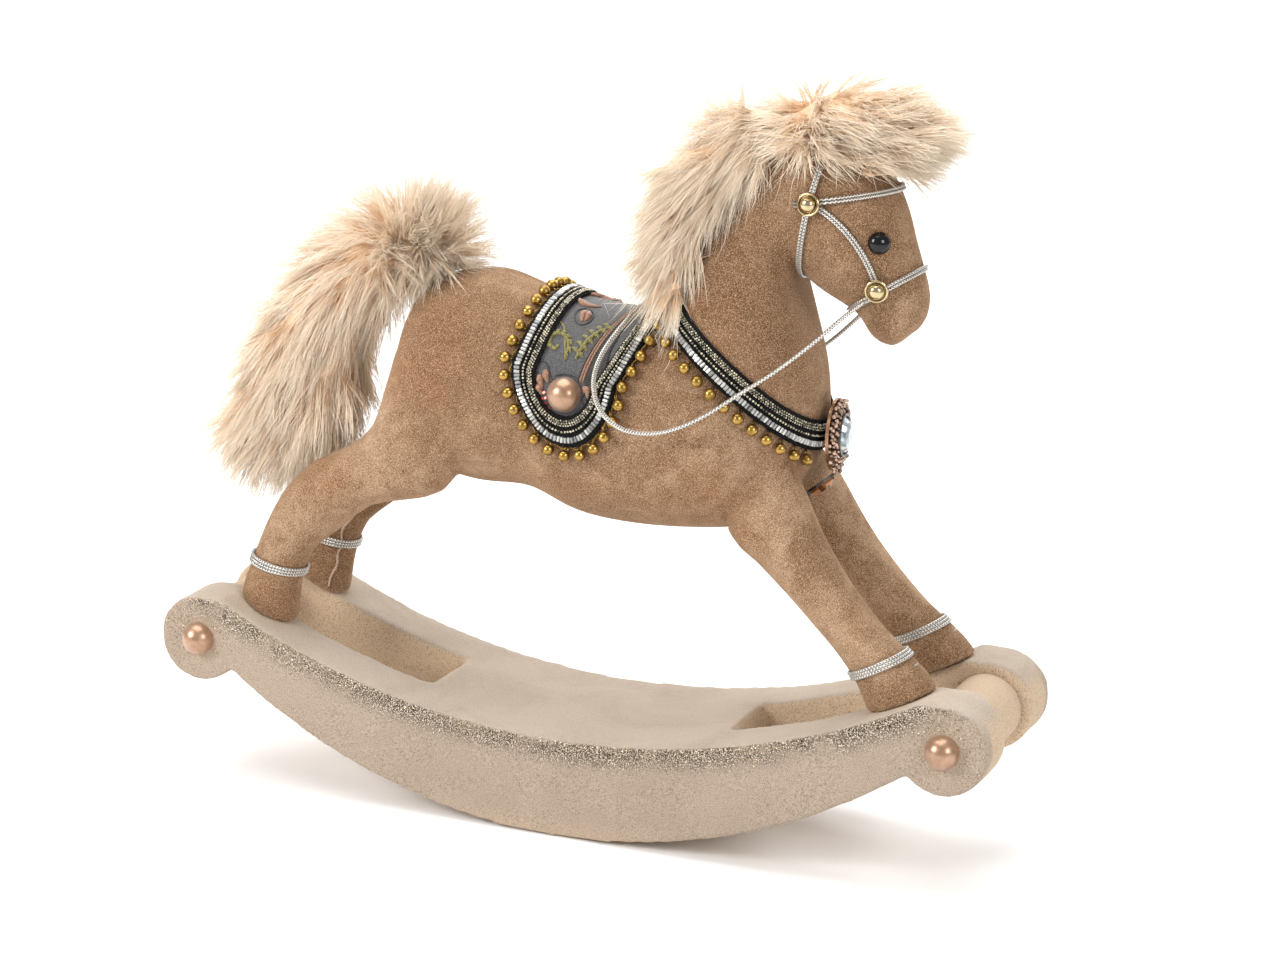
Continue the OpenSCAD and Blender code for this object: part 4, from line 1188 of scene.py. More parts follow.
def roots_on(piece, count, rng, crowd=None):
    """Points spread over a mesh, closer where crowd(points) is larger, and its outward directions there."""
    data = piece.data
    data.calc_loop_triangles()
    corners = np.empty(len(data.loop_triangles) * 3, int)
    data.loop_triangles.foreach_get("vertices", corners)
    verts = np.empty(len(data.vertices) * 3)
    data.vertices.foreach_get("co", verts)
    a, b, c = verts.reshape(-1, 3)[corners.reshape(-1, 3)].transpose(1, 0, 2)
    cross = np.cross(b - a, c - a)
    area = np.linalg.norm(cross, axis=1)
    if crowd is not None:
        area = area * crowd((a + b + c) / 3)
    picked = rng.choice(len(area), count, p=area / area.sum())
    s, t = np.sqrt(rng.random((count, 1))), rng.random((count, 1))
    points = (1 - s) * a[picked] + s * (1 - t) * b[picked] + s * t * c[picked]
    return points, unit(cross[picked])


# Thickness at each point of a hair, as a share
HAIR_TAPER = (0.9, 1.0, 0.85, 0.6, 0.12)
MANE_HAIRS, FORELOCK_HAIRS, TAIL_HAIRS = 22000, 11000, 22000
# Hairs to one lock, gap kept from the skin, and how many hairs stand loose
LOCK = 9
SKIN_GAP = 0.0012
LOOSE = 0.14


def pile(name, base, comb, count, length, seed, pieces, lift=0.5, droop=0.3, crowd=None):
    """Long hair rooted on a base piece, combed by comb(points, outward) and gathered in locks."""
    _, fur, _ = settings()
    rng = np.random.default_rng(seed)
    steps = len(HAIR_TAPER)
    roots, outward = roots_on(base, count, rng, crowd)
    guides = len(roots) // LOCK
    tree = KDTree(guides)
    for k in range(guides):
        tree.insert(roots[k], k)
    tree.balance()
    owner = np.array([tree.find(p)[1] for p in roots])
    skin = BVHTree.FromObject(bpy.data.objects["horse_velvet"], bpy.context.evaluated_depsgraph_get())
    start, out = roots[:guides], outward[:guides]
    stray = swirl(start, 0.014, rng) * 0.42 + rng.normal(0, 0.2, (guides, 3))
    reach = length * rng.uniform(0.75, 1.12, guides)
    way = unit(out * lift + comb(start, out) + stray)
    line = [start - out * 0.0015]
    for step in range(steps - 1):
        share = (step + 1) / steps
        way = unit(way + comb(line[-1], out) * 0.6 + np.array([0, 0, -droop * share]) + stray * 0.35)
        ahead = line[-1] + way * (reach / (steps - 1))[:, None]
        for k in range(guides):
            near, normal, _, _ = skin.find_nearest(Vector(ahead[k]), 0.02)
            if near is not None:
                gap = (Vector(ahead[k]) - near).dot(normal)
                if gap < SKIN_GAP:
                    ahead[k] = near + normal * SKIN_GAP
        line.append(ahead)
    line = np.stack(line, 1)
    gathered = np.linspace(0, 1, steps)[None, :, None]
    offset = (roots - start[owner])[:, None, :]
    pinch = rng.uniform(0.25, 0.7, guides)[owner][:, None, None]
    loose = rng.random((len(roots), 1, 1)) < LOOSE
    frizz = rng.normal(0, 0.0013, (len(roots), 1, 3)) * np.where(loose, 2.6, 1.0)
    waves = rng.uniform(3, 9, (len(roots), 1, 1))
    curl = np.sin(gathered * waves + rng.uniform(0, math.tau, (len(roots), 1, 1)))
    own = rng.uniform(0.6, 1.08, (len(roots), 1, 1)) * np.where(loose, 1.12, 1.0)
    middle = line[owner]
    hairs = middle[:, :1] + (middle - middle[:, :1]) * own
    hairs = hairs + offset * (1 - pinch * gathered**0.8) + frizz * gathered * (0.8 + 0.6 * curl)
    triangle = bpy.data.curves.new("hair_section", "CURVE")
    ring = triangle.splines.new("POLY")
    ring.points.add(2)
    for point, angle in zip(ring.points, (0, math.tau / 3, 2 * math.tau / 3)):
        point.co = (math.cos(angle) * fur.thickness / 2, math.sin(angle) * fur.thickness / 2, 0, 1)
    ring.use_cyclic_u = True
    section = bpy.data.objects.new("hair_section", triangle)
    hair_finish = finish("fur", fur_finish, tuple(fur.root), tuple(fur.middle), tuple(fur.tip))
    for k, part in enumerate(np.array_split(hairs, pieces)):
        data = cord_curve(f"{name}_{k + 1}", part, fur.thickness, radii=[HAIR_TAPER] * len(part))
        data.bevel_mode = "OBJECT"
        data.bevel_object = section
        shown(f"{name}_{k + 1}", as_mesh(data, f"{name}_{k + 1}"), hair_finish)
    bpy.data.objects.remove(section)
    bpy.data.curves.remove(triangle)


CREST = BARREL.at(np.linspace(7, NECK_END, 60), 0)
DOCK = np.array([spot(x, z) for x, z in ((-59, 169), (-73, 171), (-86, 169), (-101, 157), (-113, 141),
                                         (-121, 123), (-128, 105), (-137, 91), (-143, 83))])


def course_of(line, points):
    """The direction of the nearest stretch of a line, and how far along it that is."""
    line = flowing(line, 4) if len(line) < 20 else line
    nearest = np.argmin(np.linalg.norm(points[:, None] - line[None], axis=2), axis=1)
    course = unit(np.gradient(line, axis=0))
    return course[nearest], nearest / (len(line) - 1)


def comb_mane(points, outward):
    """Back and down along the crest, and down both sides of the neck."""
    course, _ = course_of(CREST, points)
    side = np.clip(points[:, 1:2] / 0.014, -1.3, 1.3)
    top = smooth_step(points[:, 2:3], 0.235, 0.262)
    down = np.array([-0.1, 0, -0.5]) * np.minimum(1, np.abs(side) + 0.1) + np.array([0, 0.3, 0]) * side
    return -0.55 * course * (1 - 0.2 * top) + down + outward * (0.5 - 0.38 * top)


def comb_forelock(points, outward):
    """Forward over the brow, and back and down from there over the poll."""
    front = smooth_step(points[:, 0:1], 0.074, 0.096)
    side = np.clip(np.abs(points[:, 1:2]) / 0.014, 0, 1)
    parting = 1 - np.abs(2 * front - 1)
    forward = np.array([1.0, 0, 0.0]) * front
    back = (np.array([-0.75, 0, -0.1]) * (1 - side) + np.array([-0.7, 0, -0.5]) * side) * (1 - front)
    aside = np.array([0, 1.0, 0]) * np.sign(points[:, 1:2]) * (0.25 * side + 0.9 * parting)
    return forward + back + aside + outward * (0.12 - 0.02 * front)


def comb_tail(points, outward):
    """Up and forward at the dock, then back and down along the tail."""
    course, along = course_of(DOCK, points)
    along = along[:, None]
    flow = smooth_step(along, 0.08, 0.4)
    tuft = np.array([0.3, 0, 0.5]) * (1 - flow) + outward * 0.5 * (1 - flow)
    return course * flow * 0.85 + tuft + np.array([0, 0, -0.25]) * along + outward * 0.3


class RockingHorseMane(bpy.types.Operator):
    """Long pile of the mane and of the forelock"""

    bl_idname = "rocking_horse.mane"
    bl_label = "Mane and forelock"

    def execute(self, context):
        fur = settings()[1]
        crest = underfur("mane_underfur", "mane", 0.006)
        brow = underfur("forelock_underfur", "forelock", 0.005)

        def poll(points):
            """More hair over the poll."""
            return 1 + 2.0 * smooth_step(points[:, 2], 0.236, 0.262)

        pile("mane_hair", crest, comb_mane, MANE_HAIRS, fur.mane_length, 21, 3, 0.45, crowd=poll)
        pile("forelock_hair", brow, comb_forelock, FORELOCK_HAIRS, fur.mane_length * 0.95, 22, 2, 0.15, 0.25)
        return {"FINISHED"}


class RockingHorseTail(bpy.types.Operator):
    """Long pile of the tail"""

    bl_idname = "rocking_horse.tail"
    bl_label = "Tail"

    def execute(self, context):
        fur = settings()[1]
        core = underfur("tail_underfur", "tail_fur", 0.004)

        def crowd(points):
            """More hair near the dock."""
            return 1 + 3.5 * smooth_step(-course_of(DOCK, points)[1], -0.3, -0.05)

        pile("tail_hair", core, comb_tail, TAIL_HAIRS, fur.tail_length, 23, 3, 0.5, crowd=crowd)
        return {"FINISHED"}


# ---------------------------------------------------------------------------
# Saddle, collar and brooch
# ---------------------------------------------------------------------------
class RockingHorseSaddle(bpy.types.Operator):
    """Brocade saddle with its embroidery and pearls"""

    bl_idname = "rocking_horse.saddle"
    bl_label = "Saddle"

    def execute(self, context):
        edge = 1.2
        reach = FLAP_Q + (FLAP_R - edge) * 0.985

        def place(s, t):
            q = reach * (2 * s - 1)
            over, r = np.maximum(0, np.abs(q) - FLAP_Q), FLAP_R - edge
            half = np.where(over > 0, np.sqrt(np.maximum(0.1, r * r - over * over)),
                            FLAP_R + SADDLE_WIDEN * top_share(q) - edge)
            middle = SADDLE_X + SADDLE_SHIFT * top_share(q)
            self.flat = np.stack([middle + half * (2 * t - 1), q], 1) * MM
            return on_barrel(self.flat[:, 0] / MM, q, LIFT + PANEL_T)

        bm = bmesh.new()
        layer = bm.loops.layers.uv.verify()
        verts = wrapped(bm, place, 110, 36)
        for vert, flat in zip(verts, self.flat):
            for loop in vert.link_loops:
                loop[layer].uv = flat
        bmesh.ops.recalc_face_normals(bm, faces=bm.faces)
        bmesh.ops.solidify(bm, geom=bm.faces[:], thickness=PANEL_T * MM * CLOTH_SHARE)
        panel = shown("saddle_brocade", mesh_of(bm, "saddle_brocade"),
                      finish("slate_brocade", brocade_finish), ["saddle_panel"])
        stitches = self.embroidery()
        phi = math.degrees(PEARL_Q / BARREL_R)
        u = float(BARREL.crossing(phi, [1, 0, 0], (SADDLE_X + 1) * MM, *SADDLE_ROWS))
        at, out = BARREL.above(u, phi, SADDLE_TAPE_H * MM), BARREL.out(u, phi)
        pearls("saddle_pearl_domes", [at, mirrored(at)], [out, mirrored(out)], settings()[2].pearl,
               ["saddle_pearls"])
        return {"FINISHED"}

    def stitched(self, name, lines, width, thread, radii=None, height=PANEL_T + LIFT + 0.15):
        """Raised threads along lines of (x, q) millimetres, on both sides of the saddle."""
        laid, widths = [], []
        for k, line in enumerate(lines):
            flat = flowing(np.c_[np.array(line, float), np.zeros(len(line))], 5)
            share = np.linspace(0, 1, len(flat))
            taper = np.ones(len(flat)) if radii is None else np.interp(share, *radii[k])
            for side in (-1, 1):
                laid.append(on_barrel(flat[:, 0], side * flat[:, 1], height))
                widths.append(taper)
        data = as_mesh(cord_curve(name, laid, width * MM, radii=widths, sides=1), name)
        return shown(name, data, thread)

    def embroidery(self):
        """Ferns, petals, piping and dark outlines; returns the pieces that lie on the saddle."""
        olive = finish("olive_thread", thread_finish, srgb(158, 148, 74), srgb(62, 54, 20))
        rose = finish("rose_thread", thread_finish, srgb(190, 142, 112), srgb(96, 62, 46))
        dark = finish("dark_thread", thread_finish, srgb(50, 38, 32), srgb(14, 10, 9))
        turns = [(0.3 + 0.46 * k, 0.8 + 0.27 * k) for k in range(15)]

        def scroll(r, a):
            """A point of the fern scroll, from its reach and its turn."""
            return -7.2 + 1.15 * r * math.cos(a), 32 + 1.35 * r * math.sin(a)

        ferns = [[scroll(r, a) for a, r in turns] + [(-6.0, 25.0), (-8.4, 22.5), (-10.6, 22.0)]]
        for a, r in turns[5:]:
            ferns.append([scroll(r + more, a + turn) for more, turn in ((0, 0), (0.8, 0.12), (1.5, 0.3))])
        ferns.append([(1.8, 36), (3.8, 29), (7.2, 22.5), (12, 18)])
        for x, q in [(2.4, 33.5), (3.3, 30.6), (4.6, 27.4), (6.2, 24.4), (8.3, 21.8), (10.4, 19.6)]:
            ferns.append([(x, q), (x - 1.6, q - 1.4), (x - 3.2, q - 1.6)])
            ferns.append([(x, q), (x + 1.2, q + 0.2), (x + 2.2, q + 1.3)])
        stem = ([0, 0.4, 1], [1.2, 1.9, 0.7])
        leaf = ([0, 0.4, 1], [0.8, 1.9, 0.4])
        widths = [stem] + [leaf] * len(turns[5:]) + [stem] + [leaf] * 12
        petals = [
            [(-1.6, 12.4), (-1.9, 15.8), (-0.9, 19.2)],
            [(-0.4, 12.6), (0.3, 15.6), (0.0, 18.4)],
            [(-9, 4), (-6, 7), (-2, 8), (2, 6.5)],
            [(-11.0, 45.6), (-10.2, 47.8), (-9.0, 50)],
            [(-8.8, 43.0), (-8.2, 45.2), (-7.0, 47.2)],
            [(-11.6, 49.4), (-10.2, 50.6), (-8.8, 52)],
            [(7.0, 45.4), (8.8, 46.6), (9.6, 49.2)],
        ]
        edges = [
            [(-12.4, 44.6), (-11.0, 46.6), (-12.2, 48.4), (-10.4, 50), (-11.0, 52.2), (-9.4, 53.6)],
            [(-9.6, 40.6), (-8.0, 41.6), (-6.0, 45.2), (-4.4, 45.6)],
            [(-12, 43), (-11.2, 40.8), (-9.6, 40.6)],
            [(-5, 44.2), (-1, 42.4), (4, 42.6), (8.4, 44)],
            [(8.2, 47), (7.2, 50), (9.2, 52.6), (11.4, 50.6), (10.6, 47.8), (8.6, 47)],
            [(9.2, 48.8), (8.8, 50.2), (10.0, 50.4), (9.8, 49.0), (9.2, 48.8)],
            [(-2.4, 10.4), (-4.8, 13.4), (-4.2, 18.2), (-1.0, 21.0), (2.0, 18.2), (1.8, 13.4), (-1.0, 10.6)],
        ]
        seam = [(15.2, 0), (14.2, 8), (12.0, 18), (9.2, 28), (6.8, 38), (5.8, 44)]
        piping = [[(x + dx, q) for x, q in seam] for dx in (-0.5, 0.55)]
        beside = [[(x + dx, q) for x, q in seam] for dx in (-1.3, 0.02, 1.35)]
        return [
            self.stitched("saddle_fern_stitches", ferns, 0.95, olive, widths),
            self.stitched("saddle_rose_stitches", petals, 1.6, rose, [leaf] * len(petals)),
            self.stitched("saddle_piping", piping, 0.85, rose),
            self.stitched("saddle_dark_stitches", edges + beside, 0.55, dark),
            self.lace(dark),
            self.sequins(),
        ]

    def lace(self, dark):
        """Dark lace between the piping and the tape: short criss-cross threads."""
        lines = []
        for k in range(38):
            q = 4 + 1.06 * k
            near = np.interp(q, [0, 18, 28, 43], [16.8, 13.6, 10.8, 7.4])
            far = near + np.interp(q, [0, 30, 43], [1.6, 4.2, 7.4])
            lines += [[(near, q), ((near + far) / 2, q + 1.3), (far, q + 0.3)],
                      [(near, q + 1.6), ((near + far) / 2, q + 0.1), (far, q + 1.9)]]
        return self.stitched("saddle_lace", lines, 0.8, dark)

    def sequins(self):
        """A few orange-red sequins beside each pearl."""
        rng = np.random.default_rng(3)
        flat = np.array([(-8.2, 51.0), (-7.4, 52.6), (-8.6, 53.2), (-7.0, 54.4), (-5.9, 55.6), (-8.0, 54.8),
                         (-6.4, 57.0), (-4.6, 57.0), (-3.4, 58.2)])
        bm = bmesh.new()
        bmesh.ops.create_cone(bm, cap_ends=True, segments=8, radius1=0.5, radius2=0.42, depth=0.16)
        points, ups = [], []
        for side in (-1, 1):
            at = on_barrel(flat[:, 0], side * flat[:, 1], PANEL_T + LIFT + 0.3)
            points.append(at)
            ups.append(unit(on_barrel(flat[:, 0], side * flat[:, 1], 5) - at) + rng.normal(0, 0.25, at.shape))
        places = stood(np.vstack(points), np.vstack(ups), size=1.35 * MM)
        data = copies(bm, places, "saddle_sequins", rng.random(len(places)))
        red = finish("sequin_red", bead_finish, srgb(226, 84, 48), srgb(140, 30, 20), 0.25, 0.4)
        return shown("saddle_sequins", data, red, smooth=False)


def bead(kind):
    """One bead a unit long or across, of a few dozen faces."""
    bm = bmesh.new()
    if kind == "bugle":
        bmesh.ops.create_cone(bm, cap_ends=True, segments=6, radius1=0.31, radius2=0.31, depth=1.0)
        rims = [e for e in bm.edges if abs(e.verts[0].co.z - e.verts[1].co.z) < SAME]
        bmesh.ops.bevel(bm, geom=rims, offset=0.07, segments=1, profile=0.5, affect="EDGES", material=-1)
    else:
        bmesh.ops.create_icosphere(bm, subdivisions=1, radius=0.5)
        if kind == "seed":
            bmesh.ops.scale(bm, vec=(1, 1, 0.78), verts=bm.verts)
    return bm


class RockingHorseTrim(bpy.types.Operator):
    """Black tape with its rows of silver and champagne beads, on the saddle and on the collar"""

    bl_idname = "rocking_horse.trim"
    bl_label = "Beaded tapes"

    def execute(self, context):
        black = finish("tape_black", tape_finish)

        def saddle_place(s, t):
            outer, inner = saddle_outline(0), saddle_outline(TAPE_W)
            k = np.round(s * len(outer)).astype(int) % len(outer)
            flat = outer[k] * (1 - t[:, None]) + inner[k] * t[:, None]
            return on_barrel(flat[:, 0], flat[:, 1], SADDLE_TAPE_H + TAPE_T)

        def collar_place(s, t):
            phi = COLLAR_START + (360 - 2 * COLLAR_START) * s
            return on_chest(phi, TAPE_W * (t - 0.5), LIFT + TAPE_T)

        count = len(saddle_outline(0))
        for name, place, steps, closed in (("saddle_tape_band", saddle_place, count, True),
                                           ("collar_tape_band", collar_place, 120, False)):
            bm = bmesh.new()
            wrapped(bm, place, steps, 6, closed=closed)
            bmesh.ops.recalc_face_normals(bm, faces=bm.faces)
            bmesh.ops.solidify(bm, geom=bm.faces[:], thickness=TAPE_T * MM * CLOTH_SHARE)
            shown(name, mesh_of(bm, name), black, [name.replace("_band", "")])

        def saddle_row(share, d):
            height = SADDLE_TAPE_H + TAPE_T + d / 2
            return saddle_loop(TAPE_W * share, height), saddle_loop(TAPE_W * share, height + 4), True

        def collar_row(share, d):
            along, height = TAPE_W * (share - 0.5), LIFT + TAPE_T + d / 2
            return collar_line(along, height), collar_line(along, height + 4), False

        self.rows("saddle", saddle_row)
        self.rows("collar", collar_row)
        return {"FINISHED"}

    def rows(self, where, line_at):
        """Three kinds of beads: line_at(share, d) gives a row's line, one above it, and if it is closed."""
        silver = finish("silver_bead", bead_finish, srgb(212, 210, 204), srgb(112, 112, 112), 0.22, 0.3)
        champagne = finish("champagne_bead", bead_finish, srgb(214, 206, 180), srgb(52, 46, 32), 0.2, 0.7)
        rng = np.random.default_rng(31 if where == "saddle" else 32)
        bugle = settings()[2].bugle / MM
        beside = 0.075
        seeds = [(SEED_AT - beside, 1.1), (SEED_AT, 1.4), (SEED_AT + beside, 1.1)]
        for kind, rows, pitch, size, look, slot in (
                ("bugle", [(BUGLE_AT, 1.25)], 1.42, bugle, silver, "silver_bead"),
                ("ball", [(BALL_AT, 1.1)], 1.25, 1.12, champagne, "silver_bead"),
                ("seed", seeds, 1.05, 0.98, champagne, "seed_bead")):
            self.beads(f"{where}_{kind}_beads", kind, rows, pitch, size, look, slot, [f"{where}_{kind}_row"],
                       line_at, rng)

    def beads(self, name, kind, rows, pitch, size, look, slot, replaces, line_at, rng):
        """Beads a pitch apart along rows, each a little out of line."""
        places = []
        for k, (share, across) in enumerate(rows):
            line, over, closed = line_at(share, across)
            points, course = evenly(line, pitch * MM, closed=closed)
            above, _ = evenly(over, count=len(points), closed=closed)
            up = unit(above - points)
            if k % 2:
                points = points + course * pitch * MM / 2
            jitter = rng.normal(0, 0.05, points.shape)
            sideways = unit(np.cross(course, up))
            along = sideways + jitter * 1.5 if kind == "bugle" else up + rng.normal(0, 0.35, points.shape)
            places.append(stood(points + jitter * MM, along, up, size * MM))
        places = np.concatenate(places)
        shown(name, copies(bead(kind), places, name, rng.random(len(places))), look, replaces,
              smooth=kind != "bugle")


class RockingHorseFringe(bpy.types.Operator):
    """Gold balls on short wires along the edges of the saddle and of the collar"""

    bl_idname = "rocking_horse.fringe"
    bl_label = "Gold fringe"

    def execute(self, context):
        ball = settings()[2].ball
        d = ball / MM
        pitch, stem, sewn, lift = 6.6, 0.8, 0.15, 0.5
        edge = saddle_loop(-sewn, SADDLE_TAPE_H + TAPE_T / 2)
        line = saddle_loop(-stem - d / 2, d / 2 + lift)
        balls, _ = evenly(line, pitch * MM, closed=True)
        roots, _ = evenly(edge, count=len(balls), closed=True)
        free = (balls[:, 0] < 0.020 * SX) | (np.abs(balls[:, 1]) > 0.014)
        weave = np.sin(np.linspace(0, math.tau * len(balls), 16 * len(balls), endpoint=False)) * 0.45
        ring, outer = (evenly(saddle_loop(-inset, SADDLE_TAPE_H), count=len(weave), closed=True)[0]
                       for inset in (0.75, 1.75))
        wire = cord_curve("saddle_edge_wire", [ring + (outer - ring) * weave[:, None]], 0.0005, closed=True,
                          sides=1)
        shown("saddle_edge_wire", as_mesh(wire, "saddle_edge_wire"), self.gold())
        self.hang("saddle", balls[free], roots[free], ball, ["saddle_fringe"])
        phi = np.linspace(52, 168, 60)
        edge = on_chest(phi, -TAPE_W / 2 - sewn, LIFT + TAPE_T / 2)
        line = on_chest(phi, -TAPE_W / 2 - stem - d / 2, d / 2 + lift)
        count = int(round(line_length(line) / (pitch * MM)))
        balls, roots = (evenly(points, count=count + 1)[0][:-1] for points in (line, edge))
        balls, roots = (np.vstack([points, mirrored(points)]) for points in (balls, roots))
        self.hang("collar", balls, roots, ball, ["collar_fringe"])
        return {"FINISHED"}

    def gold(self):
        """The finish of the balls and their wires."""
        return finish("antique_gold", metal_finish, srgb(184, 148, 78), srgb(54, 38, 14), 0.28, 0.6)

    def hang(self, where, balls, roots, size, replaces):
        """Balls, each with a loop of wire to its root on the tape and a pin through its neck."""
        gold = self.gold()
        bm = bmesh.new()
        bmesh.ops.create_uvsphere(bm, u_segments=24, v_segments=14, radius=0.5)
        ways = balls - roots
        data = copies(bm, stood(balls, ways, size=size), f"{where}_fringe_balls")
        shown(f"{where}_fringe_balls", data, gold, replaces)
        wires = []
        for root, ball in zip(roots, balls):
            way = ball - root
            side = unit(np.cross(way, [0.3, 0.2, 0.9])) * 0.0004
            wires += [np.stack([root + side, root + way * 0.35 + side * 1.6, root + way * 0.7]),
                      np.stack([root - side, root + way * 0.35 - side * 1.6, root + way * 0.7])]
            back, front = ball - unit(way) * size * 0.62, ball + unit(way) * size * 0.3
            wires.append(np.stack([back, front, front]))
        names = f"{where}_fringe_wires"
        shown(names, as_mesh(cord_curve(names, wires, 0.00042, sides=1), names), gold)


class RockingHorseBrooch(bpy.types.Operator):
    """Brooch on the collar, with its crystal, its cluster of beads and the topaz drop below it"""

    bl_idname = "rocking_horse.brooch"
    bl_label = "Brooch"

    def execute(self, context):
        copper = finish("brooch_copper", metal_finish, srgb(170, 130, 100), srgb(62, 38, 26), 0.32, 0.6)
        setting = finish("dark_setting", metal_finish, srgb(112, 108, 104), srgb(22, 18, 16), 0.3, 0.6)
        clear = finish("clear_crystal", gem_finish, srgb(236, 242, 244), srgb(120, 132, 140))
        topaz = finish("topaz", gem_finish, srgb(156, 92, 30), srgb(40, 18, 6))
        dressed(("brooch_plate", copper), ("brooch_bezel", setting), ("brooch_crystal", clear),
                ("topaz_drop", topaz), ("topaz_setting", setting))
        low, high = (np.array(c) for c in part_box("brooch_plate"))
        centre, half = (low + high) / 2, (high - low) / 2
        rng = np.random.default_rng(8)
        points, sizes = [], []
        for ring, count, size in ((0.97, 38, 1.6), (0.85, 34, 1.8), (0.73, 28, 1.7), (0.62, 22, 1.6)):
            for a in np.arange(count) / count * math.tau + rng.uniform(0, 1):
                wobble = ring + rng.normal(0, 0.035)
                depth = high[0] + rng.uniform(0.3, 1.3) * MM + (1 - ring) * 0.003
                points.append((depth, centre[1] + math.cos(a) * half[1] * wobble,
                               centre[2] + math.sin(a) * half[2] * wobble))
                sizes.append(size * rng.uniform(0.7, 1.1) * MM)
        bm = bmesh.new()
        bmesh.ops.create_icosphere(bm, subdivisions=2, radius=0.5)
        rose = finish("rose_bead", bead_finish, srgb(214, 176, 150), srgb(66, 40, 30), 0.2, 0.6)
        ups = rng.normal(0, 1, (len(points), 3))
        data = copies(bm, stood(points, ups, size=sizes), "brooch_bead_cluster", rng.random(len(points)))
        shown("brooch_bead_cluster", data, rose, ["brooch_beads"])
        return {"FINISHED"}


class RockingHorseHidden(bpy.types.Operator):
    """Wood and steel of the dowels and pins inside"""

    bl_idname = "rocking_horse.hidden"
    bl_label = "Dowels and pins"

    def execute(self, context):
        wood = finish("dowel_wood", plain_finish, srgb(206, 172, 124), srgb(160, 122, 78), 0.6)
        steel = finish("pin_steel", plain_finish, srgb(176, 178, 180), srgb(120, 122, 124), 0.35, 900, 1.0)
        dressed(("rocker_dowels", wood), ("leg_dowels", wood), ("neck_dowel", wood), ("tail_core", wood),
                ("hoof_pins", steel))
        return {"FINISHED"}


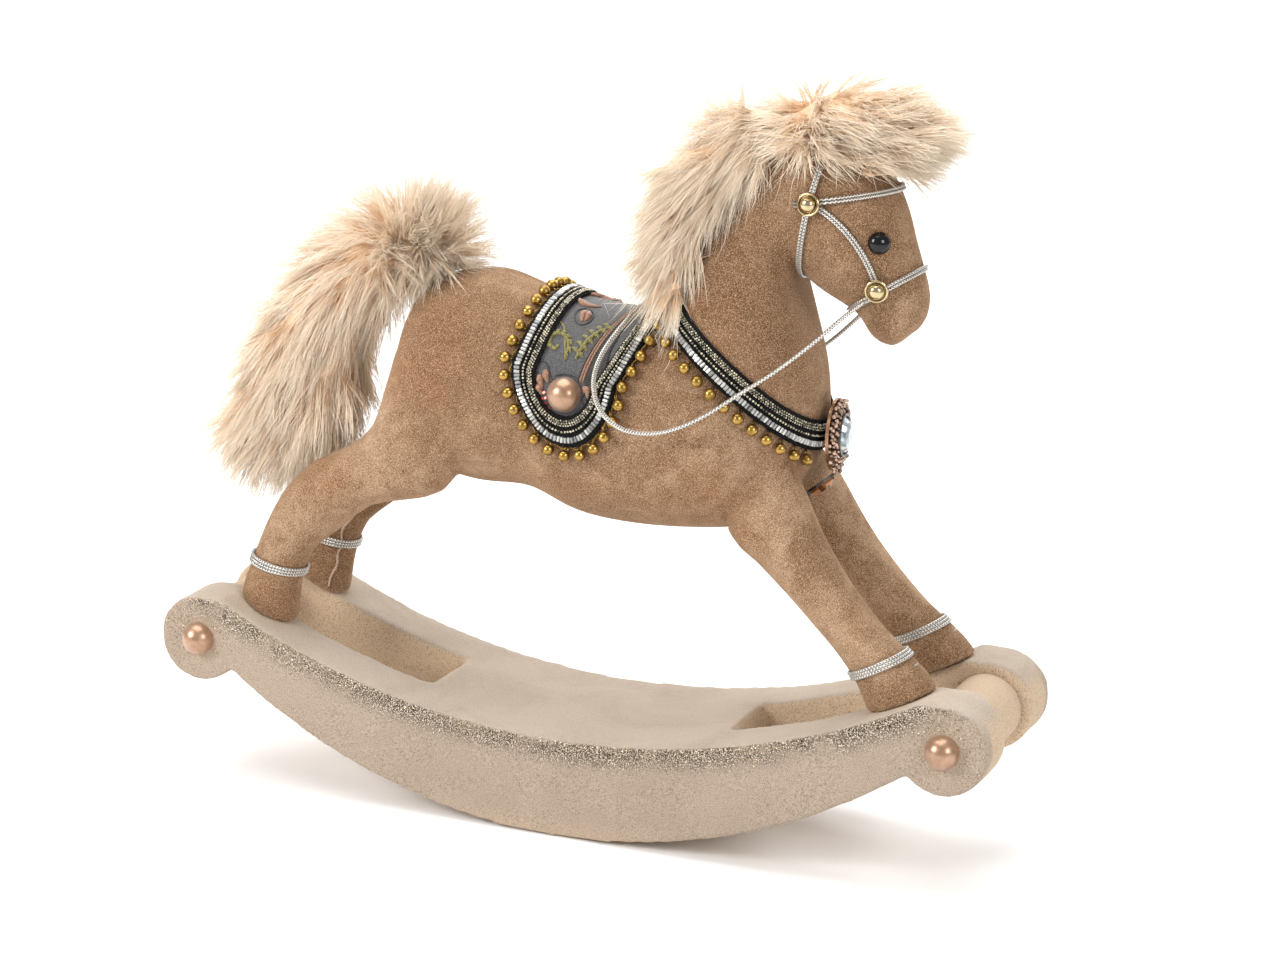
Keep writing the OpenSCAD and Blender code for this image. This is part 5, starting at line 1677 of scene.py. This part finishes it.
# ---------------------------------------------------------------------------
# Stage
# ---------------------------------------------------------------------------
class RockingHorseStage(bpy.types.Operator):
    """Camera, soft studio light and a plain pale floor"""

    bl_idname = "rocking_horse.stage"
    bl_label = "Stage"

    def execute(self, context):
        scene = context.scene
        azimuth, elevation, roll = (math.radians(a) for a in (22.22, 14.53, 1.33))
        level = math.cos(elevation)
        back = Vector((math.sin(azimuth) * level, -math.cos(azimuth) * level, math.sin(elevation)))
        right = Vector((math.cos(azimuth), math.sin(azimuth), 0))
        up = back.cross(right)
        right, up = right * math.cos(roll) + up * math.sin(roll), up * math.cos(roll) - right * math.sin(roll)
        lens = bpy.data.cameras.new("camera")
        lens.lens = 90.2
        lens.sensor_width = 36.0
        lens.clip_start = 0.05
        camera = bpy.data.objects.new("camera", lens)
        turned = Matrix((right, up, back)).transposed().to_4x4()
        target, distance = Vector((0.0164, 0, 0.1307)), 1.2
        camera.matrix_world = Matrix.Translation(target + back * distance) @ turned
        scene.collection.objects.link(camera)
        scene.camera = camera
        scene.view_settings.view_transform = "Standard"
        bm = bmesh.new()
        bmesh.ops.create_grid(bm, x_segments=2, y_segments=2, size=6.0)
        data = bpy.data.meshes.new("floor")
        bm.to_mesh(data)
        bm.free()
        floor = bpy.data.objects.new("floor", data)
        floor.location = (0, 0, -0.0002)
        scene.collection.objects.link(floor)
        f = Finish("pale_floor", Roughness=0.9, Specular_IOR_Level=0.1)
        f.feed("Base Color", f.mix(f.noise(3.0), (0.93, 0.93, 0.93), (0.95, 0.95, 0.95)))
        data.materials.append(f.material)
        world = bpy.data.worlds.new("studio")
        world.use_nodes = True
        world.node_tree.nodes["Background"].inputs["Color"].default_value = (1, 1, 1, 1)
        world.node_tree.nodes["Background"].inputs["Strength"].default_value = 0.42
        scene.world = world
        aim = Vector((0, 0, 0.12))
        for name, place, size, power in (("left_softbox", (-1.15, -1.3, 1.0), 0.8, 26),
                                         ("right_softbox", (1.5, -0.9, 0.9), 0.7, 13),
                                         ("top_softbox", (-0.2, 0.1, 1.7), 1.5, 24),
                                         ("back_softbox", (0.2, 1.6, 0.9), 1.4, 9),
                                         ("floor_wash", (-0.8, 3.6, 2.6), 4.0, 120)):
            lamp = bpy.data.lights.new(name, "AREA")
            lamp.shape = "SQUARE"
            lamp.size = size
            lamp.energy = power
            light = bpy.data.objects.new(name, lamp)
            light.location = place
            at = Vector((-1.0, 4.0, 0)) if name == "floor_wash" else aim
            light.rotation_euler = (at - Vector(place)).to_track_quat("-Z", "Y").to_euler()
            scene.collection.objects.link(light)
        return {"FINISHED"}


class RockingHorsePanel(bpy.types.Panel):
    """Sizes and colours of the rocking horse, and a button for each of its pieces"""

    bl_idname = "VIEW3D_PT_rocking_horse"
    bl_label = "Rocking Horse"
    bl_space_type = "VIEW_3D"
    bl_region_type = "UI"
    bl_category = "Rocking Horse"

    def draw(self, context):
        for group in settings():
            for key in group.__annotations__:
                self.layout.prop(group, key)
        for operator in OPERATORS:
            self.layout.operator(operator.bl_idname)


GROUPS = {
    "rocking_horse_velvet": VelvetSettings,
    "rocking_horse_fur": FurSettings,
    "rocking_horse_trim": TrimSettings,
}
OPERATORS = (RockingHorseStage, RockingHorseReins, RockingHorseSkin, RockingHorseRocker, RockingHorseEyes,
             RockingHorseSaddle, RockingHorseTrim, RockingHorseFringe, RockingHorseBrooch, RockingHorseBridle,
             RockingHorseMane, RockingHorseTail, RockingHorseHidden)


def register():
    for group in GROUPS.values():
        bpy.utils.register_class(group)
    for name, group in GROUPS.items():
        setattr(bpy.types.Scene, name, bpy.props.PointerProperty(type=group))
    for operator in OPERATORS:
        bpy.utils.register_class(operator)
    bpy.utils.register_class(RockingHorsePanel)


def unregister():
    bpy.utils.unregister_class(RockingHorsePanel)
    for operator in reversed(OPERATORS):
        bpy.utils.unregister_class(operator)
    for name in GROUPS:
        delattr(bpy.types.Scene, name)
    for group in GROUPS.values():
        bpy.utils.unregister_class(group)


def main():
    """Makes every piece and the stage."""
    register()
    for operator in OPERATORS:
        family, name = operator.bl_idname.split(".")
        getattr(getattr(bpy.ops, family), name)()


if __name__ == "__main__":
    main()
